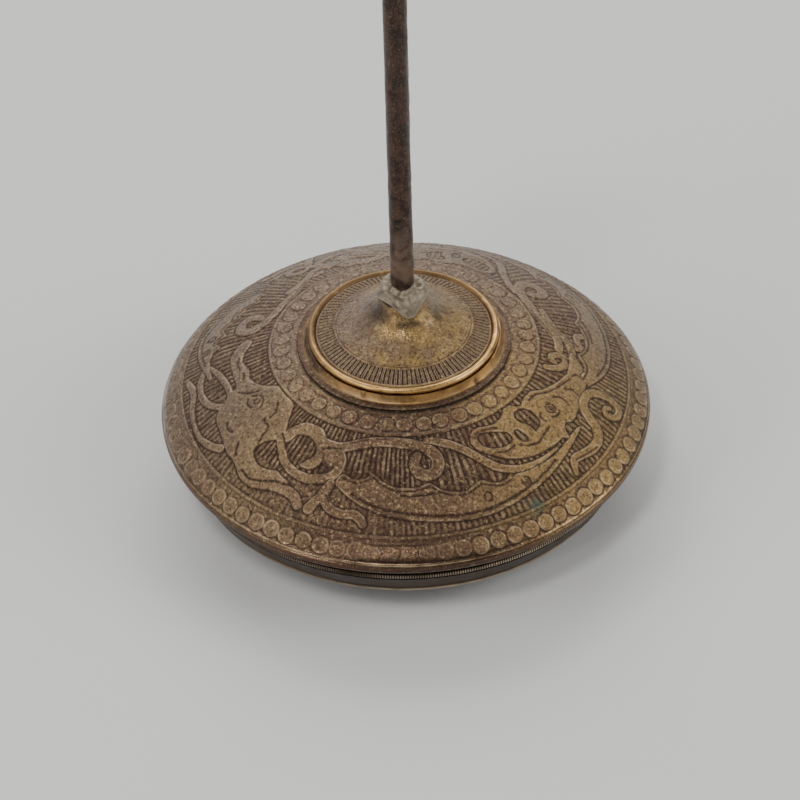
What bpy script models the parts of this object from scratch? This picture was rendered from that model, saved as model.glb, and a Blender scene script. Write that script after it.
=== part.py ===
"""Lens-shaped brass hand bell on a wrought-iron rod, with a clapper hung inside it.

The figures below are millimetres; meshes are written in metres. +Z runs up the handle,
and the origin is the centre of the flat ring that the bell stands on.
"""

import math

import bmesh
import bpy
from mathutils import Vector

MM = 0.001
GAP = 0.3  # clearance left between pieces that touch

# Body
RIM_RADIUS = 60.0
RIM_HEIGHT = 20.0
SHEET = 1.0  # thickness of the beaten brass
CROWN_HEIGHT = 40.0
CROWN_RADIUS = 27.0
INNER_RING = (32.7, 38.6)  # raised line inside the ornament, radius and height
OUTER_RING = (54.8, 25.6)  # raised line outside the ornament
DOME_BULGE = 1.7
FOOT_RADIUS = 38.5
MOUTH_RADIUS = 34.0

# Stack on the crown
COLLAR_RADIUS = 26.0
COLLAR_BORE = 18.0
COLLAR_TOP = 42.1
BEAD_RING_RADIUS = 22.4
BEAD_RADIUS = 0.85
CAP_RADIUS = 21.2
CAP_TOP = 54.4
SOLDER_TOP = 57.0

# Handle
ROD_RADIUS = 3.0
ROD_HOLE = ROD_RADIUS + GAP
ROD_EYE_HEIGHT = 160.0
ROD_EYE_RADIUS = 8.5
ROD_TIP_RADIUS = 2.0

# Clapper and its hanging
HOOK_RADIUS = 3.0
HOOK_WIRE = 1.2
PIVOT_HEIGHT = 29.6
CLAPPER_EYE_RADIUS = 3.0
CLAPPER_WIRE = 1.1
SHANK_RADIUS = 1.6
BALL_RADIUS = 10.0
BALL_HEIGHT = 13.2
RIVET_RADIUS = 3.0
RIVET_BOTTOM = 1.9
RIVET_TOP = 3.0

# Facets
BODY_SEGMENTS = 48
CAP_SEGMENTS = 36
SMALL_SEGMENTS = 28
TUBE_SIDES = 14


def clear_scene():
    for obj in list(bpy.data.objects):
        bpy.data.objects.remove(obj, do_unlink=True)


def make_material(name, colour, roughness, metallic=1.0):
    material = bpy.data.materials.new(name)
    material.use_nodes = True
    shader = material.node_tree.nodes["Principled BSDF"]
    shader.inputs["Base Color"].default_value = (*colour, 1.0)
    shader.inputs["Roughness"].default_value = roughness
    shader.inputs["Metallic"].default_value = metallic
    material.diffuse_color = (*colour, 1.0)
    return material


def add_object(name, mesh_builder, material, origin=(0.0, 0.0, 0.0)):
    """Turns a bmesh in millimetres into a named object whose origin is the given point."""
    bmesh.ops.recalc_face_normals(mesh_builder, faces=mesh_builder.faces)
    mesh = bpy.data.meshes.new(name)
    mesh_builder.to_mesh(mesh)
    mesh_builder.free()
    shift = Vector(origin)
    for vertex in mesh.vertices:
        vertex.co = (vertex.co - shift) * MM
    mesh.shade_smooth()
    mesh.set_sharp_from_angle(angle=math.radians(35))
    mesh.materials.append(material)
    obj = bpy.data.objects.new(name, mesh)
    obj.location = shift * MM
    bpy.context.scene.collection.objects.link(obj)
    return obj


def turned(name, outline, material, segments=BODY_SEGMENTS, origin=(0.0, 0.0, 0.0)):
    """A closed outline of (radius, height) turned about Z. The outline may be a function of
    the angle, which is measured from +X."""
    builder = bmesh.new()
    rings = []
    for k in range(segments):
        angle = 2 * math.pi * k / segments
        points = outline(angle) if callable(outline) else outline
        rings.append(
            [builder.verts.new((r * math.cos(angle), r * math.sin(angle), z)) for r, z in points]
        )
    count = len(rings[0])
    for k in range(segments):
        here, after = rings[k], rings[(k + 1) % segments]
        for i in range(count):
            j = (i + 1) % count
            builder.faces.new((here[i], after[i], after[j], here[j]))
    return add_object(name, builder, material, origin)


def tube(name, path, radii, material, sides=TUBE_SIDES, origin=(0.0, 0.0, 0.0)):
    """A round bar along a path that lies in the XZ or the YZ plane."""
    builder = bmesh.new()
    points = [Vector(point) for point in path]
    across = Vector((1, 0, 0)) if all(point.x == 0 for point in points) else Vector((0, 1, 0))
    rings = []
    for i, point in enumerate(points):
        before = points[max(i - 1, 0)]
        after = points[min(i + 1, len(points) - 1)]
        along = (after - before).normalized()
        beside = along.cross(across)
        ring = []
        for k in range(sides):
            angle = 2 * math.pi * k / sides
            spoke = across * math.cos(angle) + beside * math.sin(angle)
            ring.append(builder.verts.new(point + spoke * radii[i]))
        rings.append(ring)
    for here, after in zip(rings, rings[1:]):
        for k in range(sides):
            j = (k + 1) % sides
            builder.faces.new((here[k], here[j], after[j], after[k]))
    builder.faces.new(rings[0])
    builder.faces.new(rings[-1])
    return add_object(name, builder, material, origin)


def bend(start, control, end, steps):
    """Points of a quadratic curve from start to end, both included."""
    points = []
    for i in range(steps + 1):
        t = i / steps
        a, b, c = (1 - t) ** 2, 2 * t * (1 - t), t * t
        points.append(tuple(a * s + b * m + c * e for s, m, e in zip(start, control, end)))
    return points


def smooth_path(points, step):
    """Points along a Catmull-Rom curve through the given (u, z, radius) points."""
    ends = [points[0], *points, points[-1]]
    found = []
    for i in range(1, len(ends) - 2):
        p0, p1, p2, p3 = ends[i - 1 : i + 3]
        count = max(1, round(math.dist(p1[:2], p2[:2]) / step))
        for k in range(count):
            t = k / count
            found.append(
                tuple(
                    0.5 * (2 * b + (c - a) * t + (2 * a - 5 * b + 4 * c - d) * t * t
                           + (3 * b - a - 3 * c + d) * t ** 3)
                    for a, b, c, d in zip(p0, p1, p2, p3)
                )
            )
    found.append(points[-1])
    return found


def eye_arc(height, radius, first, last, start_wire, end_wire, steps):
    """(u, z, wire radius) along an eye bent in a vertical plane, angles in degrees."""
    points = []
    for i in range(steps + 1):
        t = i / steps
        angle = math.radians(first + (last - first) * t)
        wire = start_wire + (end_wire - start_wire) * t
        points.append((radius * math.cos(angle), height + radius * math.sin(angle), wire))
    return points


# --- Body ---------------------------------------------------------------------------------


def upper_shell_outline():
    mid = [(a + b) / 2 for a, b in zip(INNER_RING, OUTER_RING)]
    run = (OUTER_RING[0] - INNER_RING[0], OUTER_RING[1] - INNER_RING[1])
    length = math.hypot(*run)
    out = (-run[1] / length, run[0] / length)
    control = [m + DOME_BULGE * o for m, o in zip(mid, out)]
    dome = bend(INNER_RING, control, OUTER_RING, 8)
    crown = [(ROD_HOLE, CROWN_HEIGHT), (CROWN_RADIUS, CROWN_HEIGHT), (CROWN_RADIUS + 1.0, 39.75)]
    inside = [(r - SHEET * out[0], z - SHEET * out[1]) for r, z in dome]
    flange = RIM_HEIGHT - 1.5
    rim_outside = bend((RIM_RADIUS - 2.0, 23.0), (RIM_RADIUS, 21.4), (RIM_RADIUS, 19.9), 4)
    rim_roll = bend((RIM_RADIUS, 19.9), (RIM_RADIUS, flange), (RIM_RADIUS - 1.2, flange), 3)
    rim_inside = [
        (57.0, flange),
        (57.0, flange + 0.7),
        (58.5, flange + 0.8),
        (58.9, 20.2),
        (58.3, 21.4),
        (57.2, 22.4),
    ]
    under = [(CROWN_RADIUS, CROWN_HEIGHT - SHEET), (ROD_HOLE, CROWN_HEIGHT - SHEET)]
    return crown + dome + rim_outside + rim_roll[1:] + rim_inside + inside[::-1] + under


def lower_shell_outline():
    seat = [(55.3, 18.2), (58.2, 18.2), (58.2, 17.7), (56.9, 17.2), (56.3, 16.7), (56.1, 16.0)]
    ledge = [(56.1, 14.0), (56.6, 13.9)]
    lip = [(53.4, 8.2), (53.5, 7.7), (53.1, 7.2), (52.4, 7.0)]
    bowl = bend((50.6, 5.8), (45.0, 1.2), (FOOT_RADIUS, 0.0), 6)
    mouth = [(MOUTH_RADIUS + 0.6, 0.0), (MOUTH_RADIUS, 0.5), (MOUTH_RADIUS + 0.1, 1.1)]
    inside = bend((FOOT_RADIUS, 1.2), (44.6, 2.4), (50.0, 6.8), 6)
    wall = [(52.3, 8.6), (54.9, 13.2), (55.0, 17.2)]
    return seat + ledge + lip + bowl + mouth + [(MOUTH_RADIUS + 0.8, 1.2)] + inside + wall


def make_body(brass, spun, solder):
    turned("upper_shell", upper_shell_outline(), brass)
    turned("lower_shell", lower_shell_outline(), spun)
    turned("milled_band", [(56.4, 14.3), (57.1, 14.3), (57.1, 15.7), (56.4, 15.7)], spun)
    seam = [(55.5, 18.5), (56.7, 18.5), (56.7, 19.2), (56.2, 19.3)]
    turned("seam_solder", seam, solder)


# --- Stack on the crown -------------------------------------------------------------------


CAP_NECK = [
    (5.4, CAP_TOP),
    *bend((5.9, 53.4), (7.4, 48.8), (16.6, 45.4), 7),
    (CAP_RADIUS - 0.4, 43.95),
    (CAP_RADIUS, 43.6),
]


def cap_radius(height):
    """Outside of the cap's concave neck at a height."""
    for (r0, z0), (r1, z1) in zip(CAP_NECK, CAP_NECK[1:]):
        if z1 <= height <= z0:
            return r0 + (r1 - r0) * (z0 - height) / (z0 - z1)
    return CAP_NECK[0][0] if height > CAP_TOP else CAP_RADIUS


def cap_outline():
    wall = 1.1
    outside = [(ROD_HOLE, CAP_TOP), *CAP_NECK, (CAP_RADIUS, COLLAR_TOP + GAP)]
    inside = [(max(r - wall, ROD_HOLE), z - 0.5 * wall) for r, z in CAP_NECK[1:-2]]
    bottom = [(CAP_RADIUS - wall, COLLAR_TOP + GAP), (CAP_RADIUS - wall - 0.6, 42.9)]
    return outside + bottom + inside[::-1] + [(ROD_HOLE, CAP_TOP - 1.6)]


def solder_outline(angle):
    """The solder runs down the neck in one flap at the front, -Y, and short lobes elsewhere."""
    from_front = math.remainder(angle + math.pi / 2, 2 * math.pi)
    flap = 2.3 * math.exp(-((from_front / 0.5) ** 2))
    lobes = 0.35 * math.cos(3 * angle + 0.6) + 0.15 * math.cos(7 * angle)
    edge = 53.6 - flap + lobes
    skin = cap_radius(edge) + GAP + 0.05
    shoulder = 6.3 + 0.25 * math.cos(2 * angle)
    return [
        (ROD_HOLE, CAP_TOP + GAP),
        (5.75, CAP_TOP + GAP),
        ((5.75 + cap_radius((CAP_TOP + edge) / 2) + 0.4) / 2, (CAP_TOP + edge) / 2 + 0.3),
        (skin, edge),
        (skin + 0.5, edge + 0.2),
        ((skin + 0.6 + shoulder) / 2 + 0.25, (edge + 54.9) / 2),
        (shoulder, 55.1),
        (5.3, 56.2),
        (4.1, 56.8),
        (ROD_HOLE, SOLDER_TOP),
    ]


def make_stack(brass, polished, solder):
    step = bend((COLLAR_RADIUS - 1.6, 41.0), (23.4, 41.2), (23.25, COLLAR_TOP), 4)
    base = CROWN_HEIGHT + GAP
    foot = [(COLLAR_BORE, base), (COLLAR_RADIUS, base), (25.9, 40.75), (25.4, 40.95)]
    turned("collar", foot + step + [(COLLAR_BORE, COLLAR_TOP)], brass)
    centre = COLLAR_TOP + GAP + BEAD_RADIUS
    bead = [
        (
            BEAD_RING_RADIUS + BEAD_RADIUS * math.cos(math.tau * k / 10),
            centre + BEAD_RADIUS * math.sin(math.tau * k / 10),
        )
        for k in range(10)
    ]
    turned("bead_ring", bead, polished)
    turned("crown_cap", cap_outline(), brass, CAP_SEGMENTS)
    turned("solder_fillet", solder_outline, solder, SMALL_SEGMENTS)


# --- Handle -------------------------------------------------------------------------------


def handle_path():
    """(x, z, radius) from the free end of the lower eye up to the free end of the upper one."""
    hook_height = PIVOT_HEIGHT + HOOK_RADIUS
    hook = eye_arc(hook_height, HOOK_RADIUS, 40, -245, HOOK_WIRE, HOOK_WIRE, 22)
    neck = [(-0.25, 36.15, 1.35), (0.0, 36.6, 2.2)]
    shaft_top = ROD_EYE_HEIGHT - ROD_EYE_RADIUS - 5.0
    shaft = [(0.0, 37.0, ROD_RADIUS), (0.0, 38.2, ROD_RADIUS), (0.0, shaft_top, ROD_RADIUS)]
    turn = smooth_path(
        [(0.0, shaft_top + 0.8, 2.95), (-0.5, shaft_top + 3.4, 2.85), (-1.9, shaft_top + 5.0, 2.8)],
        0.9,
    )
    loop = eye_arc(ROD_EYE_HEIGHT, ROD_EYE_RADIUS, 245, -58, 2.75, ROD_TIP_RADIUS, 30)
    return hook + neck + shaft + turn + loop


def make_handle(iron, washer_iron, solder):
    path = handle_path()
    tube("handle_rod", [(x, 0.0, z) for x, z, _ in path], [r for _, _, r in path], iron)
    washer_top = CROWN_HEIGHT - SHEET - GAP
    washer_bottom = washer_top - 0.8
    disc = [
        (ROD_HOLE, washer_bottom),
        (9.2, washer_bottom),
        (9.5, washer_bottom + 0.3),
        (9.5, washer_top),
        (ROD_HOLE, washer_top),
    ]
    turned("inner_washer", disc, washer_iron, SMALL_SEGMENTS)
    top = washer_bottom - GAP
    fillet = [(ROD_HOLE, top), (6.2, top), (5.2, top - 0.5), (4.1, top - 0.9), (ROD_HOLE, top - 1.0)]
    turned("inner_solder", fillet, solder, SMALL_SEGMENTS)


# --- Clapper ------------------------------------------------------------------------------


def make_clapper(iron):
    pivot = (0.0, 0.0, PIVOT_HEIGHT)
    empty = bpy.data.objects.new("clapper_pivot", None)
    empty.location = Vector(pivot) * MM
    bpy.context.scene.collection.objects.link(empty)

    reach = HOOK_WIRE + GAP + CLAPPER_WIRE
    eye_height = PIVOT_HEIGHT + reach - CLAPPER_EYE_RADIUS
    eye_bottom = eye_height - CLAPPER_EYE_RADIUS
    stem = [
        (0.0, RIVET_BOTTOM, RIVET_RADIUS - 0.7),
        (0.0, RIVET_BOTTOM + 0.4, RIVET_RADIUS),
        (0.0, RIVET_TOP - 0.3, RIVET_RADIUS - 0.1),
        (0.0, RIVET_TOP, SHANK_RADIUS),
        (0.0, eye_bottom - 2.2, SHANK_RADIUS),
    ]
    turn = [(-0.15, eye_bottom - 0.9, 1.35), (-0.7, eye_bottom - 0.05, 1.15)]
    eye = eye_arc(eye_height, CLAPPER_EYE_RADIUS, 240, -38, CLAPPER_WIRE, CLAPPER_WIRE, 20)
    path = stem + turn + eye
    shank = tube(
        "clapper_shank",
        [(0.0, y, z) for y, z, _ in path],
        [r for _, _, r in path],
        iron,
        12,
        pivot,
    )

    bore = SHANK_RADIUS + GAP
    edge = math.asin(bore / BALL_RADIUS)
    arc = [
        (
            BALL_RADIUS * math.sin(edge + (math.pi - 2 * edge) * k / 14),
            BALL_HEIGHT + BALL_RADIUS * math.cos(edge + (math.pi - 2 * edge) * k / 14),
        )
        for k in range(15)
    ]
    ball = turned("clapper_ball", arc, iron, SMALL_SEGMENTS, pivot)
    for piece in (shank, ball):
        piece.location = (0.0, 0.0, 0.0)
        piece.parent = empty


def main():
    clear_scene()
    embossed = make_material("embossed_brass", (0.34, 0.25, 0.14), 0.42)
    spun = make_material("spun_brass", (0.36, 0.24, 0.17), 0.38)
    polished = make_material("polished_brass", (0.70, 0.47, 0.18), 0.22)
    wrought = make_material("wrought_iron", (0.10, 0.06, 0.05), 0.55)
    cast = make_material("clapper_iron", (0.12, 0.11, 0.10), 0.6)
    solder = make_material("lead_solder", (0.30, 0.31, 0.32), 0.45)
    make_body(embossed, spun, solder)
    make_stack(embossed, polished, solder)
    make_handle(wrought, cast, solder)
    make_clapper(cast)


main()
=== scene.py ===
"""Looks of the embossed, lens-shaped brass bell on its iron rod.

Lengths are millimetres in the part's own frame and are turned into metres when a mesh is
made. Angles round the bell are degrees from the front, -Y, and grow towards +X.
"""

import math

import bpy
import numpy as np
from mathutils import Matrix, Vector


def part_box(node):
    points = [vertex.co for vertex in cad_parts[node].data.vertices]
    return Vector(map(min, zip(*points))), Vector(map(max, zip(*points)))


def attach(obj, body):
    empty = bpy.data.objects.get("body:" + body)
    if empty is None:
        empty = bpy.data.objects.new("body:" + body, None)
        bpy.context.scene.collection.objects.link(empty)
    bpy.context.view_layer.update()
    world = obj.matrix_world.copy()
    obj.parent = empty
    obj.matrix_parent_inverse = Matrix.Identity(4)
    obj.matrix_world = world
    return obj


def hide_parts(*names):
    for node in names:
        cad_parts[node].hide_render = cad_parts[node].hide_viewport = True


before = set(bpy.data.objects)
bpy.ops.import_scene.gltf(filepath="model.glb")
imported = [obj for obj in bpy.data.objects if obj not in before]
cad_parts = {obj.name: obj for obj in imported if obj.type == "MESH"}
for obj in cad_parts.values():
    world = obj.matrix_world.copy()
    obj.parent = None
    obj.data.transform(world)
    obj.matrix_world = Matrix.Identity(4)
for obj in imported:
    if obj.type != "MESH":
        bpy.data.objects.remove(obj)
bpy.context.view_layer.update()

MM = 0.001


def extent(node):
    """(radius, lowest, highest) of a turned CAD node, in millimetres."""
    low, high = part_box(node)
    return high.x / MM, low.z / MM, high.z / MM


RIM, FLANGE, CROWN = extent("upper_shell")
SEAT = extent("lower_shell")[2]
COLLAR, COLLAR_FOOT, COLLAR_TOP = extent("collar")
BEAD, BEAD_LOW, BEAD_HIGH = extent("bead_ring")
CAP, CAP_LOW, CAP_TOP = extent("crown_cap")
MILLED, MILLED_LOW, MILLED_HIGH = extent("milled_band")
HOOK_LOW, EYE_TOP = extent("handle_rod")[1:]
BALL, BALL_LOW, BALL_HIGH = extent("clapper_ball")
RIVET_LOW, CLAPPER_TOP = extent("clapper_shank")[1:]

SHEET = 1.0
ROD = 2.8
ROD_HOLE = 3.3
RING_B = (RIM - 27.3, CROWN - 1.4)
RING_C = (RIM - 5.2, CROWN - 14.4)
SHOULDER = (RIM - 2.0, FLANGE + 4.5)
COLUMNS = 1440


# --- Curves and meshes --------------------------------------------------------------------


def bend(start, control, end, steps):
    t = np.linspace(0, 1, steps + 1)[:, None]
    start, control, end = np.array(start), np.array(control), np.array(end)
    return (1 - t) ** 2 * start + 2 * t * (1 - t) * control + t * t * end


def chain(*runs):
    """Runs of points joined into one, without the doubled point where two meet."""
    points = []
    for run in runs:
        for point in np.atleast_2d(run):
            if not points or np.hypot(*(point - points[-1])) > 1e-6:
                points.append(np.array(point, float))
    return np.array(points)


def resample(points, spacing):
    points = np.array(points, float)
    along = np.concatenate([[0], np.cumsum(np.hypot(*np.diff(points, axis=0).T))])
    where = np.linspace(0, along[-1], max(2, round(along[-1] / spacing) + 1))
    return np.stack([np.interp(where, along, points[:, k]) for k in range(2)], axis=1)


def refine(points, spacing, closed=True):
    """The outline with extra points along each straight run, corners kept."""
    points = np.array(points, float)
    ends = np.vstack([points[1:], points[:1]]) if closed else points[1:]
    found = []
    for a, b in zip(points, ends):
        count = max(1, round(float(np.hypot(*(b - a))) / spacing))
        found.extend(a + (b - a) * k / count for k in range(count))
    if not closed:
        found.append(points[-1])
    return np.array(found)


def soften(points, passes):
    points = points.copy()
    for _ in range(passes):
        points[1:-1] = (points[:-2] + 2 * points[1:-1] + points[2:]) / 4
    return points


def catmull(points, steps=6):
    """A smooth curve through points that may have any number of components."""
    points = np.array(points, float)
    ends = np.vstack([points[:1], points, points[-1:]])
    found = []
    for p0, p1, p2, p3 in zip(ends, ends[1:], ends[2:], ends[3:]):
        for t in np.arange(steps) / steps:
            bow, twist = 2 * p0 - 5 * p1 + 4 * p2 - p3, 3 * p1 - p0 - 3 * p2 + p3
            found.append(0.5 * (2 * p1 + (p2 - p0) * t + bow * t * t + twist * t**3))
    found.append(points[-1])
    return np.array(found)


def eye_arc(height, radius, first, last, steps):
    """(sideways, height) along an eye bent in a vertical plane, angles in degrees."""
    turn = np.radians(np.linspace(first, last, steps + 1))
    return np.stack([radius * np.cos(turn), height + radius * np.sin(turn)], axis=1)


def step_up(value, low, high):
    t = unit((value - low) / (high - low))
    return t * t * (3 - 2 * t)


def between(value, start, full, high, end):
    """1 from full to high, falling to 0 at start and at end."""
    return step_up(value, start, full) * step_up(-value, -end, -high)


def hump(value, centre, width):
    return np.exp(-(((value - centre) / width) ** 2))


def from_angle(angle, centre):
    """Signed degrees from the centre, the short way round."""
    return (angle - centre + 180) % 360 - 180


def sector(angle, centre, width):
    """A hump round the bell, with its centre and width in degrees."""
    return hump(from_angle(angle, centre), 0, width)


def unit(value):
    return np.clip(value, 0, 1)


def angles(columns):
    return (np.arange(columns) * 360 / columns - 180)[:, None]


def blur(field, reach):
    """Box blur of a (columns, rows) field that wraps round the bell."""
    shifts = range(-reach, reach + 1)
    field = sum(np.roll(field, k, axis=0) for k in shifts) / len(shifts)
    padded = np.pad(field, ((0, 0), (reach, reach)), mode="edge")
    rows = field.shape[1]
    return sum(padded[:, reach + k : reach + k + rows] for k in shifts) / len(shifts)


def grain(shape, reach, seed):
    """Seeded random field, about -1 to 1, with features of the given reach in cells."""
    field = np.random.default_rng(seed).normal(size=shape)
    for size in (reach, reach):
        field = blur(field, size)
    return field / (3 * field.std())


def patchy(x, y, size, seed):
    """Seeded noise over the plan, about -1 to 1, with patches of the given size."""
    grid = np.random.default_rng(seed).normal(size=(256, 256)) / 1.6
    u, v = x / size + 128, y / size + 128
    i, j = np.floor(u).astype(int), np.floor(v).astype(int)
    s, t = step_up(u - i, 0, 1), step_up(v - j, 0, 1)
    i, j, over, up = i % 256, j % 256, (i + 1) % 256, (j + 1) % 256
    low = grid[i, j] * (1 - s) + grid[over, j] * s
    high = grid[i, up] * (1 - s) + grid[over, up] * s
    return low * (1 - t) + high * t


def plan(theta, radii):
    """Plan coordinates of every (column, row)."""
    return np.sin(np.radians(theta)) * radii, -np.cos(np.radians(theta)) * radii


def add_object(name, data):
    thing = bpy.data.objects.new(name, data)
    bpy.context.scene.collection.objects.link(thing)
    return thing


def make_mesh(name, points, faces, masks, sharp):
    mesh = bpy.data.meshes.new(name)
    mesh.from_pydata((np.asarray(points) * MM).tolist(), [], [list(face) for face in faces])
    for mask, values in masks.items():
        layer = mesh.attributes.new(mask, "FLOAT", "POINT")
        layer.data.foreach_set("value", np.ascontiguousarray(values, np.float32).ravel())
    mesh.shade_smooth()
    mesh.set_sharp_from_angle(angle=math.radians(sharp))
    return add_object(name, mesh)


def revolve(name, radius, height, masks, sharp=75):
    """A closed outline for each column, (columns, rows) radii and heights, turned about Z."""
    columns, rows = radius.shape
    turn = np.radians(angles(columns))
    points = np.stack([radius * np.sin(turn), -radius * np.cos(turn), height], axis=-1)
    area = radius[0] @ np.roll(height[0], -1) - np.roll(radius[0], -1) @ height[0]
    k = np.arange(columns)[:, None]
    i = np.arange(rows)[None, :]
    here, ahead = k * rows, (k + 1) % columns * rows
    j = (i + 1) % rows
    corners = [here + i, here + j, ahead + j, ahead + i]
    if area > 0:
        corners.reverse()
    faces = np.stack(corners, axis=-1).reshape(-1, 4).tolist()
    return make_mesh(name, points.reshape(-1, 3), faces, masks, sharp)


def normals_of(outline):
    along = np.roll(outline, -1, axis=0) - np.roll(outline, 1, axis=0)
    along /= np.linalg.norm(along, axis=1)[:, None]
    radius, height = outline.T
    area = radius @ np.roll(height, -1) - np.roll(radius, -1) @ height
    normal = np.stack([-along[:, 1], along[:, 0]], axis=1)
    return normal if area < 0 else -normal


def lathe(name, outline, lift, masks, sharp=60):
    """A closed outline turned about Z; lift is a (columns, rows) height along its normal."""
    normal = normals_of(outline)
    radius = outline[:, 0] + lift * normal[:, 0]
    height = outline[:, 1] + lift * normal[:, 1]
    return revolve(name, radius, height, masks, sharp)


def tube(name, path, radii, sides, plane, masks):
    """A round bar with closed ends. The path is (sideways, height) in the XZ or YZ plane, and
    radii is (points, sides)."""
    path = np.array(path, float)
    along = np.gradient(path, axis=0)
    along /= np.linalg.norm(along, axis=1)[:, None]
    beside = np.stack([along[:, 1], -along[:, 0]], axis=1)
    turn = np.radians(np.arange(sides) * 360 / sides)
    level = path[:, None, :] + beside[:, None, :] * (radii * np.cos(turn))[..., None]
    across = radii * np.sin(turn)
    if plane == "XZ":
        points = np.stack([level[..., 0], across, level[..., 1]], axis=-1)
    else:
        points = np.stack([across, level[..., 0], level[..., 1]], axis=-1)
    count = len(path)
    faces = []
    for low in range(0, (count - 1) * sides, sides):
        for k in range(sides):
            j = (k + 1) % sides
            faces.append((low + k, low + j, low + sides + j, low + sides + k))
    faces.append(tuple(range(sides - 1, -1, -1)))
    faces.append(tuple(range((count - 1) * sides, count * sides)))
    if plane == "XZ":
        faces = [face[::-1] for face in faces]
    return make_mesh(name, points.reshape(-1, 3), faces, masks, 60)


# --- Ornament -----------------------------------------------------------------------------


TRENCH = 0.22  # millimetres cut round a figure where it crosses another


def circle(angle, radius, size, end):
    """Points round a small circle on the dome, every 30 degrees up to the end."""
    turn = np.radians(np.arange(0, end, 30))
    across = np.degrees(size / radius)
    return np.stack([angle + across * np.cos(turn), radius + size * np.sin(turn)], axis=1)


class Ornament:
    """Raised and sunk shapes drawn on the dome. Points are (angle, radius); depth holds each
    cell's distance inside the raised parts, negative in the ground. Figures are moved round
    by shift degrees."""

    def __init__(self, radii, along):
        self.theta = angles(COLUMNS)
        self.radii = radii[None, :]
        self.along = along[None, :]
        self.depth = np.full((COLUMNS, len(radii)), -5.0)
        self.lines = np.zeros((COLUMNS, len(radii)))
        self.shift = 0

    def _local(self, points):
        """Indices of the columns near the points, with the points as (angle, distance up)."""
        points = np.array(points, float)
        points[:, 1] = np.interp(points[:, 1], self.radii[0], self.along[0])
        centre = (points[:, 0].min() + points[:, 0].max()) / 2
        half = (points[:, 0].max() - points[:, 0].min()) / 2 + 7
        near = np.nonzero(np.abs(from_angle(self.theta[:, 0], centre)) <= half)[0]
        return near, from_angle(self.theta[near], centre), points - [centre, 0]

    def _distance(self, near, turn, points, widths):
        """How far each nearby cell lies inside a band along the points, in millimetres."""
        scale = np.radians(1) * self.radii
        inside = np.full((len(near), self.radii.shape[1]), -5.0)
        for a, b, wa, wb in zip(points, points[1:], widths, widths[1:]):
            x, y = (turn - a[0]) * scale, self.along - a[1]
            run, rise = (b[0] - a[0]) * scale, b[1] - a[1]
            share = unit((x * run + y * rise) / (run * run + rise * rise + 1e-9))
            gap = np.hypot(x - share * run, y - share * rise)
            inside = np.maximum(inside, wa + (wb - wa) * share - gap)
        return inside

    def _shape(self, outline):
        points = np.array([*outline, outline[0]], float) + [self.shift, 0]
        near, turn, points = self._local(catmull(points, 4))
        edge = -self._distance(near, turn, points, np.zeros(len(points)))
        within = np.zeros(edge.shape, bool)
        for a, b in zip(points, points[1:]):
            if a[1] == b[1]:
                continue
            crosses = (a[1] > self.along) != (b[1] > self.along)
            within ^= crosses & (turn < a[0] + (b[0] - a[0]) * (self.along - a[1]) / (b[1] - a[1]))
        return near, np.where(within, edge, -edge)

    def _lay(self, near, inside, trench):
        """Adds a raised shape. A trench of that width parts it from what it crosses; with no
        trench the two grow together."""
        below = self.depth[near]
        if trench:
            below = np.minimum(below, -inside - trench)
        self.depth[near] = np.maximum(below, inside)

    def band(self, points, widths, trench=TRENCH):
        """A raised band; widths are half its breadth at each point."""
        data = catmull(np.column_stack([np.array(points, float) + [self.shift, 0], widths]))
        near, turn, path = self._local(data[:, :2])
        self._lay(near, self._distance(near, turn, path, data[:, 2]), trench)

    def area(self, outline, trench=TRENCH):
        near, inside = self._shape(outline)
        self._lay(near, inside, trench)

    def sink(self, outline):
        near, inside = self._shape(outline)
        self.depth[near] = np.minimum(self.depth[near], -inside)

    def line(self, points, width=0.22):
        """An incised line."""
        near, turn, path = self._local(catmull(np.array(points, float) + [self.shift, 0], 4))
        inside = self._distance(near, turn, path, np.zeros(len(path)))
        self.lines[near] = np.maximum(self.lines[near], np.exp(-((inside / (1.3 * width)) ** 2)))

    def ring(self, angle, radius, size):
        self.line(circle(angle, radius, size, 361))

    def pit(self, angle, radius, size):
        self.sink(circle(angle, radius, size, 360))


def draw_tendril_tail(art):
    """The looped stem behind the beast, with its spiral end at the outer ring."""
    art.band(
        [(49, 53.3), (50.2, 51.9), (51.8, 51), (55, 51.5), (59, 52.2), (62.6, 51.8), (65.2, 50.2),
         (66.6, 48), (68.4, 46.1), (72, 45.4), (75.3, 46.2), (77.3, 48.4), (77.6, 51), (76.3, 52.9),
         (74.1, 53.3), (72, 52.4), (71.6, 50.9), (73.2, 50.2), (74.4, 51.1)],
        [0.6, 0.9, 1.05, 1.15, 1.2, 1.35, 1.4, 1.35, 1.3, 1.2, 1.15, 1.15, 1.1, 1.05, 0.95, 0.85,
         0.75, 0.7, 0.6])
    art.line([(52, 51.3), (56, 52), (60, 52.6)], 0.18)


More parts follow.
